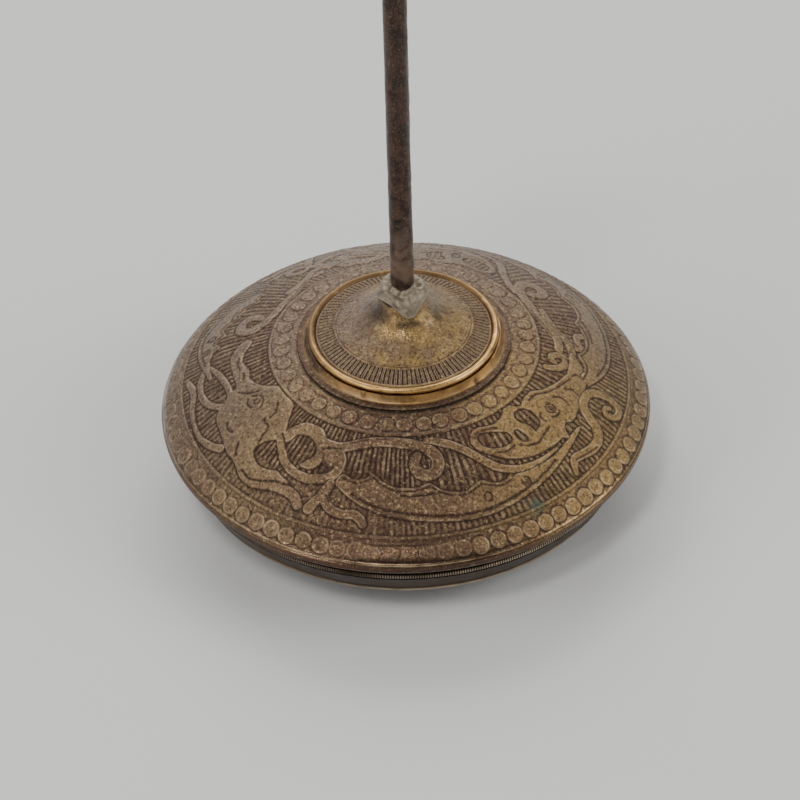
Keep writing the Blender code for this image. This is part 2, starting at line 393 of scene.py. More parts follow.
def draw_beast(art):
    """A long-jawed beast with an open mouth, a curled tongue and a ringed eye."""
    art.area(
        [(24, 37.3), (25.5, 39.3), (29, 41.2), (32.4, 43), (37.6, 44.7), (44, 45.8), (51, 46.2),
         (53.6, 46.2), (55.4, 47.2), (56.2, 45.9), (57.6, 44.9), (59.2, 44.7), (61.2, 45.6),
         (66, 45.2), (72, 44.8), (78, 44.8), (83, 43.9), (87.5, 41.8), (90, 40.6), (86, 40),
         (79, 40.2), (75.3, 39.4), (70, 38.2), (64.5, 36.6), (60.4, 34.8), (57, 34.5),
         (53.6, 34.8), (51.4, 35.3), (49.6, 34.8), (47.6, 33.7), (44.6, 33.5), (42.2, 34.2),
         (39.6, 35), (35.6, 35.3), (32, 34.9), (29.2, 34.5), (26.6, 34.9), (24.6, 36)])
    art.sink(
        [(26.9, 37.3), (27.8, 38.9), (30.7, 40.2), (34.7, 40.9), (38, 40.7), (39.2, 39.4), (38, 38),
         (34.2, 36.8), (30.1, 36), (27.6, 36.2)])
    art.sink(
        [(40.4, 40.4), (41.2, 41.8), (43.2, 42.5), (44.2, 41.6), (43.8, 40.2), (42.6, 38.9),
         (40.9, 38.9)])
    art.sink(
        [(47.6, 41.8), (50, 41.5), (52.2, 40.6), (52.8, 38.8), (52.2, 37), (50.4, 35.8), (48, 35.4),
         (46, 35.8), (44.6, 37.2), (46.4, 38.8), (47.6, 40.2)])
    art.band(
        [(43.4, 36), (43.6, 37.6), (45, 39), (46.2, 40.4), (45.6, 41.4)],
        [1.0, 0.9, 0.9, 0.95, 0.7], None)
    for line in (
        [(39.6, 42), (41.7, 43.1), (45.7, 43.8), (49.2, 43.2), (52.7, 42.8)],
        [(31.5, 41.4), (34.7, 41.9), (37.9, 41.6)],
        [(53.6, 41.4), (53.2, 40), (54.6, 39.4)],
        [(57.2, 41.9), (58.8, 42.4), (60.8, 42)],
        [(55.6, 35.7), (60.2, 36), (64.3, 37.7), (70, 39.3), (76, 40.9)],
        [(64.4, 39.4), (66, 41), (65.4, 43)],
        [(70.6, 40.6), (72, 42.2), (71.4, 43.8)],
        [(77.6, 41.2), (79.6, 42.2), (79, 43.8)],
        [(27.4, 35.6), (31, 35.6), (36, 36.4)],
    ):
        art.line(line, 0.24)
    art.ring(59.2, 40.3, 1.15)
    art.ring(59.2, 40.3, 0.45)


def draw_beast_legs(art):
    """The stem and the curled foot that run on behind the beast."""
    art.band(
        [(86, 40.9), (92, 40.6), (96.7, 39.4), (101, 37.7), (107, 36.8), (112, 36.9)],
        [1.1, 1.1, 1.1, 1.1, 1.1, 1.0])
    art.band(
        [(76.6, 35), (78.2, 37.2), (81, 38.9), (84, 39.4), (85.8, 38), (84.6, 36.2), (82, 35.9),
         (81.2, 37)],
        [0.7, 0.95, 1.05, 1.05, 1.05, 0.9, 0.8, 0.6])
    art.band(
        [(94.6, 43.6), (96.4, 42.6), (99.6, 43), (100.6, 45), (98.4, 46.6), (95.4, 46),
         (93.6, 44.2), (92.6, 42)],
        [0.6, 0.8, 1.0, 1.0, 1.0, 1.0, 0.9, 0.7])
    art.band([(98.4, 46.6), (101, 47.8), (104.6, 48)], [1.0, 0.8, 0.5], None)


def draw_crescent(art, scale=1.0):
    """A long scalloped leaf with a plain border along its outer edge."""
    top = [(-22.6, 45.4), (-16.5, 47.9), (-9.6, 49.9), (-2.1, 51), (3.7, 51.6), (10, 52.2),
           (17.4, 52.7), (23.2, 52.6), (29, 52.1), (34.8, 51.5), (40.6, 50.7), (46.3, 49.8),
           (52.1, 48.9), (57.9, 48.1)]
    tip = [(61.6, 47.5), (57.9, 47.1), (52, 47.5), (46.3, 47.8), (40.6, 47.7), (36.6, 47.2)]
    low = [(33.3, 46), (29, 47.3), (25.5, 46.9), (21.9, 45.6), (17.4, 46.9), (12.6, 46.5),
           (9.6, 45.6), (6.8, 44.1), (3.7, 44.7), (0.2, 44.9), (-4.4, 44.6), (-7.9, 43.6),
           (-10.8, 42.2), (-14, 43.5), (-17.1, 43.8), (-20.8, 43.2)]
    squeeze = np.array([scale, 1])
    art.area(np.array([*top, *tip, *low]) * squeeze)
    border = np.array([(a, r - 1.05) for a, r in top[1:-2]])
    art.line(border * squeeze, 0.3)
    for cusp in (low[:4], low[3:8], low[7:13], low[12:]):
        inset = np.array([(a, r + 0.7) for a, r in cusp])
        art.line(inset * squeeze, 0.2)
    art.ring(22.6 * scale, 49.2, 0.9)
    art.ring(34.8 * scale, 49.3, 1.0)
    art.ring(34.8 * scale, 49.3, 0.35)
    art.line(np.array([(-2, 46.4), (4, 46.6), (8, 46.2)]) * squeeze, 0.24)


def draw_scroll(art):
    """The S-shaped stem that ends in an open curl."""
    art.band(
        [(-31, 37.6), (-25.2, 37.6), (-19.4, 36.2), (-13.6, 34.95), (-8, 34.55), (-2.4, 34.7),
         (3, 35.3), (7.4, 36.5), (10.2, 38.3), (10.5, 40.2), (8.8, 41.9), (5.8, 42.3),
         (3.1, 41.2), (2.4, 39.3), (3.8, 37.7)],
        [1.1, 1.15, 1.2, 1.2, 1.2, 1.25, 1.3, 1.4, 1.45, 1.45, 1.4, 1.4, 1.35, 1.25, 0.9], None)
    art.line([(-24, 36.6), (-19.4, 35.5), (-13.6, 34.3), (-8, 33.9)], 0.2)
    art.line([(-0.6, 36.5), (3.2, 36.6), (6.4, 37.5)], 0.24)
    art.pit(6.4, 39.5, 1.35)


def draw_rising_stem(art):
    """The stem from under the curl up to the crescent's underside."""
    art.band(
        [(7.5, 34.6), (11.6, 35), (15.6, 36.1), (19.1, 37.5), (22.6, 39.5), (24.9, 41.3),
         (27.8, 43.5), (31.3, 45.3), (34.7, 46.3), (39.4, 46.9), (44, 47.1), (49.4, 47.1)],
        [0.7, 0.95, 1.0, 1.0, 1.0, 1.0, 1.0, 0.95, 0.9, 0.65, 0.5, 0.3])


def draw_left_loop(art):
    """Curled leaves between the left beast and the crescent."""
    art.area(
        [(-47.6, 41.6), (-45.4, 42), (-43.4, 40.6), (-42.4, 38.6), (-39.6, 37.9), (-36.3, 37.9),
         (-33.2, 39.1), (-32.3, 41), (-34.2, 43), (-35.4, 44.2), (-32, 44.2), (-29.4, 42.8),
         (-28.8, 40.8), (-27.2, 39), (-29.9, 37.4), (-34, 35.2), (-38, 34.8), (-42.6, 35.4),
         (-45, 37), (-46.6, 38.6)], None)
    art.area(
        [(-29.4, 40.6), (-28.4, 42), (-26, 42.4), (-22.4, 41.6), (-21.8, 39.8), (-23.4, 38.4),
         (-27.4, 38.4)], None)
    art.band(
        [(-48, 40.9), (-44.4, 42.8), (-40.6, 44.8), (-36.5, 45.9), (-32, 46.2), (-28.2, 45.6),
         (-24.8, 44.5), (-22.9, 42.8), (-22.4, 40.4), (-24, 38.6)],
        [0.7, 0.95, 1.0, 1.05, 1.1, 1.1, 1.15, 1.1, 1.0, 0.9], None)
    art.line([(-29, 44.4), (-26.6, 43.8), (-25.2, 42.8), (-25, 41.6)], 0.26)
    art.line([(-29.4, 40.2), (-28.4, 41.8), (-26.4, 42.2)], 0.24)
    art.line([(-47.4, 40.2), (-44, 41.6), (-41, 43.2)], 0.2)
    art.line([(-30.4, 39.2), (-28, 38.4), (-24.4, 37.9)], 0.22)


def draw_forked_leaf(art):
    """A leaf of two lobes between the left beast's jaw and the crescent."""
    art.band(
        [(-27.3, 51.8), (-26.4, 50.2), (-25.2, 48.8), (-24.4, 47.2), (-23.6, 45.8)],
        [1.25, 1.15, 1.15, 1.2, 1.1])
    art.band(
        [(-24.8, 47.6), (-23.4, 49.6), (-21, 50.8), (-18, 51.2), (-15, 50.9), (-13, 51.6),
         (-12, 52.6)],
        [0.9, 1.1, 1.1, 1.05, 1.05, 1.1, 0.95], None)
    art.line([(-23.6, 48.2), (-21.6, 49.6), (-18, 50), (-14, 49.8)], 0.22)


def draw_left_beast(art):
    """The beast at the left: its long jaw, its folded body and its looped mane."""
    art.area(
        [(-77, 43.2), (-74.6, 45.4), (-72.6, 47.6), (-70, 48.6), (-66, 49), (-62, 49.8),
         (-58, 50.6), (-54.2, 50.9), (-50.2, 52.3), (-46, 52.7), (-42, 51.9), (-39, 50.8),
         (-37, 49.6), (-36, 48.4), (-38.6, 47.9), (-41, 47.4), (-43.8, 48.1), (-47.3, 48.3),
         (-50.2, 47.5), (-52.1, 46.2), (-51.3, 44.2), (-48.6, 42.2), (-46.4, 40.8), (-47.6, 38.8),
         (-49, 37.4), (-51.3, 34.8), (-53.4, 33.5), (-60, 33.4), (-66, 33.5), (-69.6, 35.3),
         (-72.9, 37), (-76, 38.3)])
    art.area(
        [(-100.4, 39), (-97.8, 41), (-93.7, 42.2), (-89, 42.2), (-84.4, 41.9), (-79, 41.6),
         (-74, 42.6), (-73, 38), (-76, 37.9), (-79, 38.4), (-82.1, 38), (-85.6, 38.7),
         (-89, 39.4), (-92.5, 39.1), (-96.6, 37.8), (-99.4, 37.8)], None)
    art.band(
        [(-41, 50.6), (-38, 50.1), (-35, 50), (-32.2, 50.6), (-30.6, 51.8)],
        [1.1, 1.15, 1.2, 1.25, 1.2], None)
    art.band(
        [(-93.9, 48.3), (-90.2, 46.3), (-86.8, 45), (-82.1, 43.9), (-77, 43.5), (-73.6, 44.4)],
        [0.5, 0.75, 0.8, 0.8, 0.8, 0.8], None)
    art.band(
        [(-93.9, 48.4), (-89.6, 49.7), (-84.4, 50), (-79.8, 49.3), (-76.4, 48), (-73.6, 46)],
        [0.6, 0.85, 0.85, 0.85, 0.85, 0.8], None)
    art.band(
        [(-91.4, 53), (-87.6, 51.9), (-84, 51.9), (-80, 52.7), (-74, 53.2), (-69.4, 53.2),
         (-64.8, 52.3), (-61.3, 50.9)],
        [0.8, 0.9, 0.85, 0.7, 0.6, 0.7, 0.9, 1.0], None)
    for line in (
        [(-69, 40.4), (-67.4, 41.2), (-65, 40.8)],
        [(-69.4, 39.4), (-68, 38.2), (-66, 37.6), (-63.6, 38.2), (-62.4, 39.6)],
        [(-52, 45), (-53, 42.9), (-53.4, 41), (-56.4, 40.6), (-57.4, 40)],
        [(-56, 39.2), (-56.2, 37.4), (-58.8, 35.6)],
        [(-91, 40.2), (-88, 40.5), (-84.6, 40)],
        [(-82, 39.4), (-79.4, 39.7), (-78.6, 40.4)],
        [(-74.6, 41.6), (-72, 40), (-69.8, 37.6)],
        [(-66.6, 46.8), (-64.6, 47.4), (-62.4, 47)],
        [(-57.6, 47.6), (-56.6, 48.9), (-55.4, 49.5)],
        [(-50.6, 51), (-47.3, 51.5), (-44.4, 50.9), (-42, 50.1), (-39.1, 49.2), (-36.2, 49)],
    ):
        art.line(line, 0.26)
    art.ring(-65.9, 39.1, 0.7)


def draw_ornament(art):
    """Two beasts with their scrolls and leaves fill the front; the same figures, moved round,
    fill the back."""
    front = (draw_left_beast, draw_left_loop, draw_scroll, draw_crescent, draw_forked_leaf,
             draw_rising_stem, draw_beast_legs, draw_beast, draw_tendril_tail)
    for art.shift, figures in (
        (-116, [draw_scroll]),
        (0, front),
        (100.5, [draw_crescent]),
        (118, [draw_rising_stem]),
        (120, [draw_scroll]),
        (118, front[-3:]),
        (-126, [draw_forked_leaf]),
        (-128, [draw_left_loop]),
    ):
        for draw in figures:
            draw(art)
    art.shift = -118
    draw_crescent(art, 0.5)


# --- Relief of the upper shell ------------------------------------------------------------


def dome_profile():
    """The shell's outside from the collar's edge to the widest point of the rim."""
    run = np.subtract(RING_C, RING_B)
    out = np.array([-run[1], run[0]]) / np.hypot(*run)
    control = (np.array(RING_B) + RING_C) / 2 + 1.7 * out
    skin = chain(
        [(COLLAR - 0.6, CROWN), (COLLAR + 1.0, CROWN), (COLLAR + 2.0, CROWN - 0.25)],
        bend(RING_B, control, RING_C, 60),
        bend(SHOULDER, (RIM, FLANGE + 2.9), (RIM, FLANGE + 1.4), 12),
    )
    return soften(resample(skin, 0.1), 20)


def arc_of(skin):
    return np.concatenate([[0], np.cumsum(np.hypot(*np.diff(skin, axis=0).T))])


SKIN = dome_profile()
SKIN_ARC = arc_of(SKIN)
ARC_B = float(np.interp(RING_B[0], SKIN[:, 0], SKIN_ARC))
ARC_C = float(np.interp(RING_C[0], SKIN[:, 0], SKIN_ARC))
ARC_RIM = float(SKIN_ARC[-1])
SEAM = 0.55  # the three parts of the shell meet this far outside the two ring lines


def skin_between(start, end, spacing):
    """(outline, arc) of the skin between two arc lengths."""
    arc = np.linspace(start, end, round((end - start) / spacing) + 1)
    return np.stack([np.interp(arc, SKIN_ARC, SKIN[:, k]) for k in range(2)], axis=1), arc


def outward(skin):
    """The skin's own normals, so that two stretches of it meet without a gap."""
    along = np.gradient(skin, axis=0)
    along /= np.linalg.norm(along, axis=1)[:, None]
    return np.stack([-along[:, 1], along[:, 0]], axis=1)


def lining(skin, spacing):
    """The inside of the sheet under a stretch of skin, running back the other way."""
    return resample((skin - SHEET * outward(skin))[::-1], spacing)


def worn_front(theta):
    """Where handling has rubbed the front of the rim nearly smooth."""
    return unit(sector(theta, -3, 13) * 1.15)


def discs(theta, arc, centre, radius_there, size, count, phase, seed):
    """Distance inside a row of struck discs, each a little out of place."""
    pitch = 360 / count
    number = np.round((theta - phase) / pitch)
    random = np.random.default_rng(seed).normal(size=(3, count))
    which = number.astype(int) % count
    across = np.radians(theta - phase - number * pitch) * radius_there - 0.12 * random[0][which]
    up = arc - centre - 0.1 * random[1][which]
    return size + 0.06 * random[2][which] - np.hypot(across, up)


def zones(theta):
    """Where the skin of the brass differs round the bell: golden at the right and over the
    left beast's head, grey-mauve at the left and the back, reddish in front."""
    return {
        "gold": unit(sector(theta, 54, 40) * 1.1 + 0.55 * sector(theta, -50, 20)),
        "mauve": unit(sector(theta, -112, 62) + sector(theta, 165, 50)),
        "rust": unit(1.2 * sector(theta, -3, 30)),
    }


def masks_for(lift, tone, edge, radius, rows, rest):
    """Vertex masks for the struck brass. The rows past the skin are its lining, whose tone is
    rest."""
    theta = angles(COLUMNS)
    hollow = unit(-(lift - blur(lift, 3)) / 0.10)
    spot = hump(np.radians(from_angle(theta, 33.5)) * 54, 0, 2.0) * hump(radius, 54.3, 1.5)
    mottle = 0.6 + patchy(*plan(theta, radius), 0.6, 45)
    full = {}
    for name, values, beyond in (
        ("raised", tone, rest),
        ("edge", edge, 0.0),
        # A low rest tone also sets the hollow mask to half on those rows: painted shade on the rim's
        # roll.
        ("hollow", hollow, 0.5 if rest < 0.3 else 0.0),
        ("verdigris", np.clip(1.3 * spot * mottle, 0, 0.75), 0.0),
    ):
        field = np.full((len(theta), rows), beyond)
        field[:, : len(radius)] = values
        full[name] = field
    for name, values in zones(theta).items():
        full[name] = values + np.zeros((1, rows))
    full["polished"] = np.zeros((len(theta), rows))
    rubbed = unit(worn_front(theta) + 0.6 * sector(theta, 62, 24))
    rubbed = 0.65 * rubbed * step_up(radius, RIM - 5.0, RIM - 4.4)
    rolled = step_up(radius, RIM - 1.3, RIM - 0.9)
    full["polished"][:, : len(radius)] = np.maximum(rubbed, rolled)
    return full


def faint(theta):
    """How far the ornament fades towards the back of the bell."""
    return sector(theta, 176, 74)


SEAM_LEVEL = -0.16


def settle(lift, arc, *seams):
    """Brings a piece's relief to one common level where it meets the next piece."""
    for seam in seams:
        lift = SEAM_LEVEL + (lift - SEAM_LEVEL) * step_up(np.abs(arc - seam), 0.02, 0.4)
    return lift


def stipple(theta, radii, seed):
    """The fine tooling that covers all the struck brass."""
    x, y = plan(theta, radii)
    sizes = ((0.6, 0.42), (0.6, 0.8), (0.5, 2.2))
    return sum(share * patchy(x, y, size, seed + k) for k, (share, size) in enumerate(sizes))


FAR_SWELL = 0.9


def far_swell(theta, radii, arc):
    """The far side of the dome stands a little fuller than the near side."""
    far = FAR_SWELL * sector(theta, 180, 78)
    return far * step_up(radii, 34, 47) * step_up(ARC_RIM - arc, 0.2, 8)


OUTER_ZONE = 46.6  # radius beyond which the ground's bars are set closer


def ground_bars(theta, radii):
    """Radial bars left standing between the punch marks of the ground, 0 to 1."""
    sway = 0.28 * np.sin(np.radians(theta * 7)) + 0.22 * np.sin(np.radians(theta * 17 + 40))
    uneven = grain((len(theta), radii.shape[1]), 5, 3)
    inner = np.interp(theta + 1.2 * sway, (-180, -55, 3, 180), (0, 59.5, 92.7, 171))
    phase = np.where(radii > OUTER_ZONE, (theta + sway) * 232 / 360, inner)
    wave = np.cos(2 * np.pi * phase + 0.9 * uneven)
    return step_up(wave, -0.45, 0.6)


def field_relief(outline, arc):
    """(lift, tone, edge) of the broad ornamented zone."""
    radii = outline[:, 0]
    art = Ornament(radii, arc)
    draw_ornament(art)
    theta = art.theta
    shape = art.depth.shape
    depth = art.depth + 0.06 * grain(shape, 2, 11)
    raised = step_up(depth, -0.16, 0.14)
    bars = ground_bars(theta, art.radii) * step_up(-depth, 0.2, 0.5)
    for ring in (ARC_B, ARC_C):
        gap = np.abs(arc - ring)
        raised = np.maximum(raised * step_up(gap, 0.45, 0.8), step_up(-gap, -0.5, -0.2))
        bars = bars * step_up(gap, 0.6, 1.0)
    outer = step_up(art.radii, OUTER_ZONE - 0.2, OUTER_ZONE + 0.3) * (1 - raised)
    rubbed = sector(theta, -28, 46)
    bars = bars * (1 - 0.75 * outer * rubbed)
    lines = art.lines * step_up(depth, -0.05, 0.2)
    puff = step_up(depth, 0.0, 1.3) * 0.10
    tooth = stipple(theta, art.radii, 5)
    fading = faint(theta)
    # Painted shadow: a dark line in the ground just outside each raised figure, over a shallow trench.
    trench_shadow = hump(depth, -0.2, 0.2)
    lift = (0.33 + puff) * raised + 0.2 * (1 - raised) * bars - 0.2 * lines - 0.05 * trench_shadow
    lift = lift * (1 - 0.45 * fading) + 0.06 * tooth + 0.06 * grain(shape, 12, 6) - 0.3
    lift = settle(lift + far_swell(theta, radii, arc), arc, ARC_B - SEAM, ARC_C + SEAM)
    scuff = unit(0.3 + 1.2 * grain(shape, 3, 15))
    edge = hump(depth, 0.16, 0.14) * scuff * (1 - lines) + 0.38 * (1 - raised) * bars * scuff
    tone = 0.92 * raised - 1.1 * lines - 0.7 * trench_shadow + 0.38 * (1 - raised) * bars + 0.3 * tooth
    tone += outer * (0.14 + 0.3 * rubbed)
    tone = tone * (1 - 0.55 * fading) + 0.55 * fading * 0.72
    return lift, unit(tone), edge * (1 - 0.8 * fading)


def crown_relief(outline, arc):
    """(lift, tone, edge) of the small discs round the collar."""
    theta = angles(COLUMNS)
    radii = outline[:, 0]
    shape = (COLUMNS, len(radii))
    centre = float(np.interp(RIM - 30.1, SKIN[:, 0], SKIN_ARC))
    inside = discs(theta, arc, centre, radii, size=1.88, count=42, phase=-0.9, seed=21)
    raised = step_up(inside, -0.12, 0.14)
    for line in (ARC_B - 5.5, ARC_B - 6.0):
        raised = np.maximum(raised, 0.55 * hump(arc, line, 0.16))
    raised = np.maximum(raised, between(arc, ARC_B - 0.05, ARC_B + 0.1, ARC_B + 0.2, ARC_B + 0.5))
    tooth = stipple(theta, radii, 25)
    fading = faint(theta)
    left = sector(theta, -80, 40)
    lift = 0.24 * raised * (1 - 0.5 * fading) * (1 - 0.3 * left)
    lift += 0.05 * tooth + 0.04 * grain(shape, 9, 9) - 0.2
    # Painted shadow: a dark line round each disc.
    trench_shadow = hump(inside, -0.1, 0.2)
    tone = 0.57 + 0.25 * raised - 0.5 * trench_shadow
    tone = (tone - 0.6) * (1 - 0.65 * fading) * (1 - 0.4 * left) + 0.6 + 0.3 * tooth
    edge = hump(inside, 0.2, 0.16) * unit(0.2 + grain(shape, 3, 17)) * (1 - fading)
    return settle(lift, arc, ARC_B - SEAM), unit(tone), edge


def rim_relief(outline, arc):
    """(lift, tone, edge) of the large discs and the rolled edge."""
    theta = angles(COLUMNS)
    shape = (COLUMNS, len(arc))
    radii = outline[:, 0]
    worn = worn_front(theta)
    fading = faint(theta)
    left = 0.85 * sector(theta, -84, 37)
    centre = ARC_RIM - 4.15
    inside = discs(theta, arc, centre, radii, size=2.1, count=84, phase=42.7, seed=22)
    raised = step_up(inside, -0.14, 0.16) * (1 - worn)
    plain = between(arc, centre - 2.1, centre - 1.6, centre + 1.2, centre + 1.7)
    raised = np.maximum(raised, worn * plain * 0.92)
    cracks = worn * hump(inside, -0.05, 0.12) * (np.abs(arc - centre) < 1.7)
    rolled = step_up(arc, ARC_RIM - 1.0, ARC_RIM - 0.7)
    line = 0.9 * hump(arc, ARC_RIM - 1.35, 0.22)
    raised = np.maximum(raised, np.maximum(line, rolled))
    tooth = stipple(theta, radii, 35)
    lift = 0.26 * raised * (1 - 0.5 * fading) * (1 - left)
    lift += 0.05 * tooth * (1 - 0.6 * worn) * (1 - 0.7 * rolled)
    lift += 0.06 * grain(shape, 10, 13) - 0.12 * cracks - 0.22
    lift += far_swell(theta, radii, arc)
    # Painted shadow: a dark line round each disc, left off on the worn front and the roll.
    trench_shadow = hump(inside, -0.1, 0.2) * (1 - worn) * (1 - rolled)
    tone = 0.5 + 0.3 * raised - 0.5 * trench_shadow - 0.5 * cracks
    tone = (tone - 0.6) * (1 - 0.6 * fading) * (1 - left) + 0.6
    tone += 0.3 * tooth * (1 - 0.6 * rolled) * (1 - 0.5 * worn)
    # Painted shade: the rim's turned-under face is darkened, standing in for a reflection of a dark
    # floor.
    tone = tone * (1 - 0.85 * step_up(arc, ARC_RIM - 0.9, ARC_RIM - 0.5))
    edge = 0.8 * hump(inside, 0.28, 0.2) * (1 - worn) * unit(0.6 + grain(shape, 3, 18))
    # Painted highlight along the top of the roll, stronger over the rubbed front.
    edge += hump(arc, ARC_RIM - 1.25, 0.3) * unit(0.5 + grain(shape, 4, 19)) * (0.5 + worn)
    lift = settle(lift, arc, ARC_C + SEAM) * step_up(ARC_RIM - arc, 0, 0.6)
    return lift, unit(tone), unit(edge * (1 - 0.7 * fading))


def make_upper_shell():
    """The beaten shell in three parts that meet at the ring lines."""
    skin, arc = skin_between(ARC_B - SEAM, ARC_C + SEAM, 0.28)
    parts = [("shell_field", skin, lining(skin, 3.0), field_relief(skin, arc), 0.4)]

    skin, arc = skin_between(0.0, ARC_B - SEAM, 0.22)
    hub = np.array([(ROD_HOLE, CROWN - SHEET), (ROD_HOLE, CROWN), (COLLAR - 2, CROWN)])
    rest = np.vstack([lining(skin, 2.0), hub])
    parts.append(("shell_crown", skin, rest, crown_relief(skin, arc), 0.4))

    skin, arc = skin_between(ARC_C + SEAM, ARC_RIM, 0.24)
    roll = bend((RIM, FLANGE + 1.4), (RIM, FLANGE), (RIM - 1.2, FLANGE), 6)[1:]
    inside = [(RIM - 3.0, FLANGE), (RIM - 3.0, FLANGE + 0.7), (RIM - 1.5, FLANGE + 0.8),
              (RIM - 1.1, FLANGE + 1.7), (RIM - 1.7, FLANGE + 2.9), (RIM - 2.8, FLANGE + 3.9)]
    back = lining(skin_between(ARC_C + SEAM, ARC_RIM - 4.4, 0.24)[0], 1.5)
    rest = np.vstack([roll, refine(inside, 0.8, False), back])
    # The roll and the rows inside take a low tone, painted dark like the rim's lower face.
    parts.append(("shell_rim", skin, rest, rim_relief(skin, arc), 0.1))

    pieces = []
    for name, skin, rest, (lift, tone, edge), beyond in parts:
        outline = np.vstack([skin, rest])
        out = outward(skin)
        radius, height = (np.tile(outline[:, k], (COLUMNS, 1)) for k in range(2))
        radius[:, : len(skin)] += lift * out[:, 0]
        height[:, : len(skin)] += lift * out[:, 1]
        masks = masks_for(lift, tone, edge, skin[:, 0], len(outline), beyond)
        pieces.append(revolve(name, radius, height, masks))
    return pieces


# --- Other brass --------------------------------------------------------------------------


TURNED_COLUMNS = 720


def make_lower_shell():
    """Spun bowl: seat, dark step, plain band, thin lip and the turned-in foot ring."""
    seat = [(55.3, SEAT), (58.2, SEAT), (58.2, SEAT - 0.5), (56.9, SEAT - 1.0), (56.3, SEAT - 1.5),
            (56.1, SEAT - 2.2), (56.1, MILLED_LOW - 0.3), (56.6, MILLED_LOW - 0.4)]
    band = [(55.0, 11.0), (53.4, 8.2)]
    lip = [(53.55, 7.95), (53.5, 7.6), (53.1, 7.2), (52.4, 7.0)]
    bowl = bend((50.6, 5.8), (45.0, 1.2), (38.5, 0.0), 24)
    mouth = [(34.6, 0.0), (34.15, 0.15), (34.0, 0.5), (34.1, 1.0), (34.8, 1.2)]
    inside = bend((38.5, 1.2), (44.6, 2.4), (50.0, 6.8), 18)
    wall = [(52.3, 8.6), (54.9, 13.2), (55.0, SEAT - 1.0)]
    outline = refine(chain(seat, band, lip, bowl, mouth, inside, wall), 0.45)
    shape = (TURNED_COLUMNS, len(outline))
    radius, height = outline.T
    outside = between(height, 7.4, 8.4, 13.4, 13.9) * step_up(radius, 53.0, 53.6)
    spun = np.sin(height * 9.0) * 0.012 + 0.02 * grain(shape, 3, 31)
    theta = angles(TURNED_COLUMNS)
    dents = 0.09 * grain(shape, 14, 32) + 0.05 * np.sin(np.radians(theta * 5 + 30))
    scored = -0.07 * hump(height, 12.4, 0.14) - 0.05 * hump(height, 9.4, 0.14)
    lift = outside * (spun + scored) + dents * between(height, 0.6, 2.5, 13.0, 16.0)
    lift += between(height, 0.6, 2.5, 5.5, 6.5) * 0.02 * np.sin(radius * 7.5)
    # Painted highlight along the thin lip, strongest at the front.
    lip_highlight = hump(height, 7.7, 0.3) * (radius > 52.8) * (0.25 + 0.5 * sector(theta, 10, 45))
    masks = {
        "edge": unit(lip_highlight + 0.5 * grain(shape, 2, 33) * lip_highlight) + 0 * theta,
        "hollow": unit(hump(height, 14.4, 0.8) + step_up(height, 16.0, 17.0)) + 0 * theta,
    }
    return lathe("spun_bowl", outline, lift, masks, 50)


def make_milled_band():
    """Half-round wire crossed by about six hundred short dashes."""
    dashes = 600
    columns = dashes * 4
    middle = (MILLED_LOW + MILLED_HIGH) / 2
    half = (MILLED_HIGH - MILLED_LOW) / 2
    turn = np.radians(np.arange(-90, 91, 20))
    face = np.stack([MILLED - 0.32 + 0.32 * np.cos(turn), middle + half * np.sin(turn)], axis=1)
    outline = np.vstack([face, [(MILLED - 0.7, MILLED_HIGH), (MILLED - 0.7, MILLED_LOW)]])
    tooth = np.array([1.0, 0.35, 0.0, 0.0])[np.arange(columns) % 4][:, None]
    strength = np.clip(0.75 + 0.5 * grain((dashes, 1), 2, 41).repeat(4, axis=0), 0.15, 1)
    strength *= 1 - 0.8 * sector(angles(columns), -14, 7)
    over_face = hump(outline[:, 1], middle + 0.05, 0.5) * (outline[:, 0] > MILLED - 0.5)
    lift = 0.24 * tooth * strength * over_face - 0.1
    lift[:, -2:] = 0
    # Painted highlight, with rubbed wear, on the crests of the teeth; it fades towards the left.
    dimmed_left = 0.85 * sector(angles(columns), -75, 85)
    masks = {"edge": unit(tooth * strength * over_face * 1.5 * (1 - dimmed_left)),
             "hollow": (1 - tooth) * over_face * 0.8}
    return lathe("milled_wire", outline, lift, masks)


def make_collar():
    """Stepped ring with a purple-brown ledge and a polished hollow wall."""
    ledge = COLLAR_TOP - 1.1
    lip = COLLAR_TOP + 0.45
    wall = bend((COLLAR - 1.75, ledge), (24.05, ledge + 0.3), (23.5, lip), 12)
    foot = [(18.0, COLLAR_FOOT), (COLLAR, COLLAR_FOOT), (COLLAR - 0.05, COLLAR_FOOT + 0.2),
            (COLLAR - 1.0, ledge - 0.25)]
    bore = [(23.3, lip), (23.3, COLLAR_TOP), (18.0, COLLAR_TOP)]
    outline = refine(chain(foot, wall, bore), 0.22)
    shape = (TURNED_COLUMNS, len(outline))
    radius = outline[:, 0]
    theta = angles(TURNED_COLUMNS)
    showing = step_up(radius, 22.9, 23.2)
    ridges = 0.11 * (hump(radius, 25.3, 0.13) + hump(radius, 25.8, 0.13))
    lift = showing * (ridges + 0.02 * grain(shape, 3, 51) + 0.045 * grain(shape, 12, 52))
    lift += showing * 0.04 * stipple(theta, radius, 55) * step_up(radius, 24.4, 24.8)
    lift -= 0.05 * hump(radius, 24.7, 0.2)
    chip = sector(theta, 45, 1.6) * hump(radius, 24.3, 0.5)
    crumb = sector(theta, -25, 1.3) * hump(radius, 23.7, 0.45)
    lift += showing * (0.38 * crumb - 0.35 * chip)
    polished = between(radius, 22.9, 23.1, 24.4, 24.9)
    polished = polished * (0.05 + sector(theta, 28, 70) + 0.5 * grain(shape, 10, 54))
    scored = 0.5 * (hump(radius, 25.55, 0.12) + hump(radius, 25.05, 0.12))
    masks = {
        "edge": unit(hump(radius, 24.2, 0.32) * (0.25 + 0.35 * grain(shape, 4, 53))),
        "polished": unit(polished - chip),
        "hollow": unit(chip + scored),
    }
    return lathe("stepped_collar", outline, lift, masks)


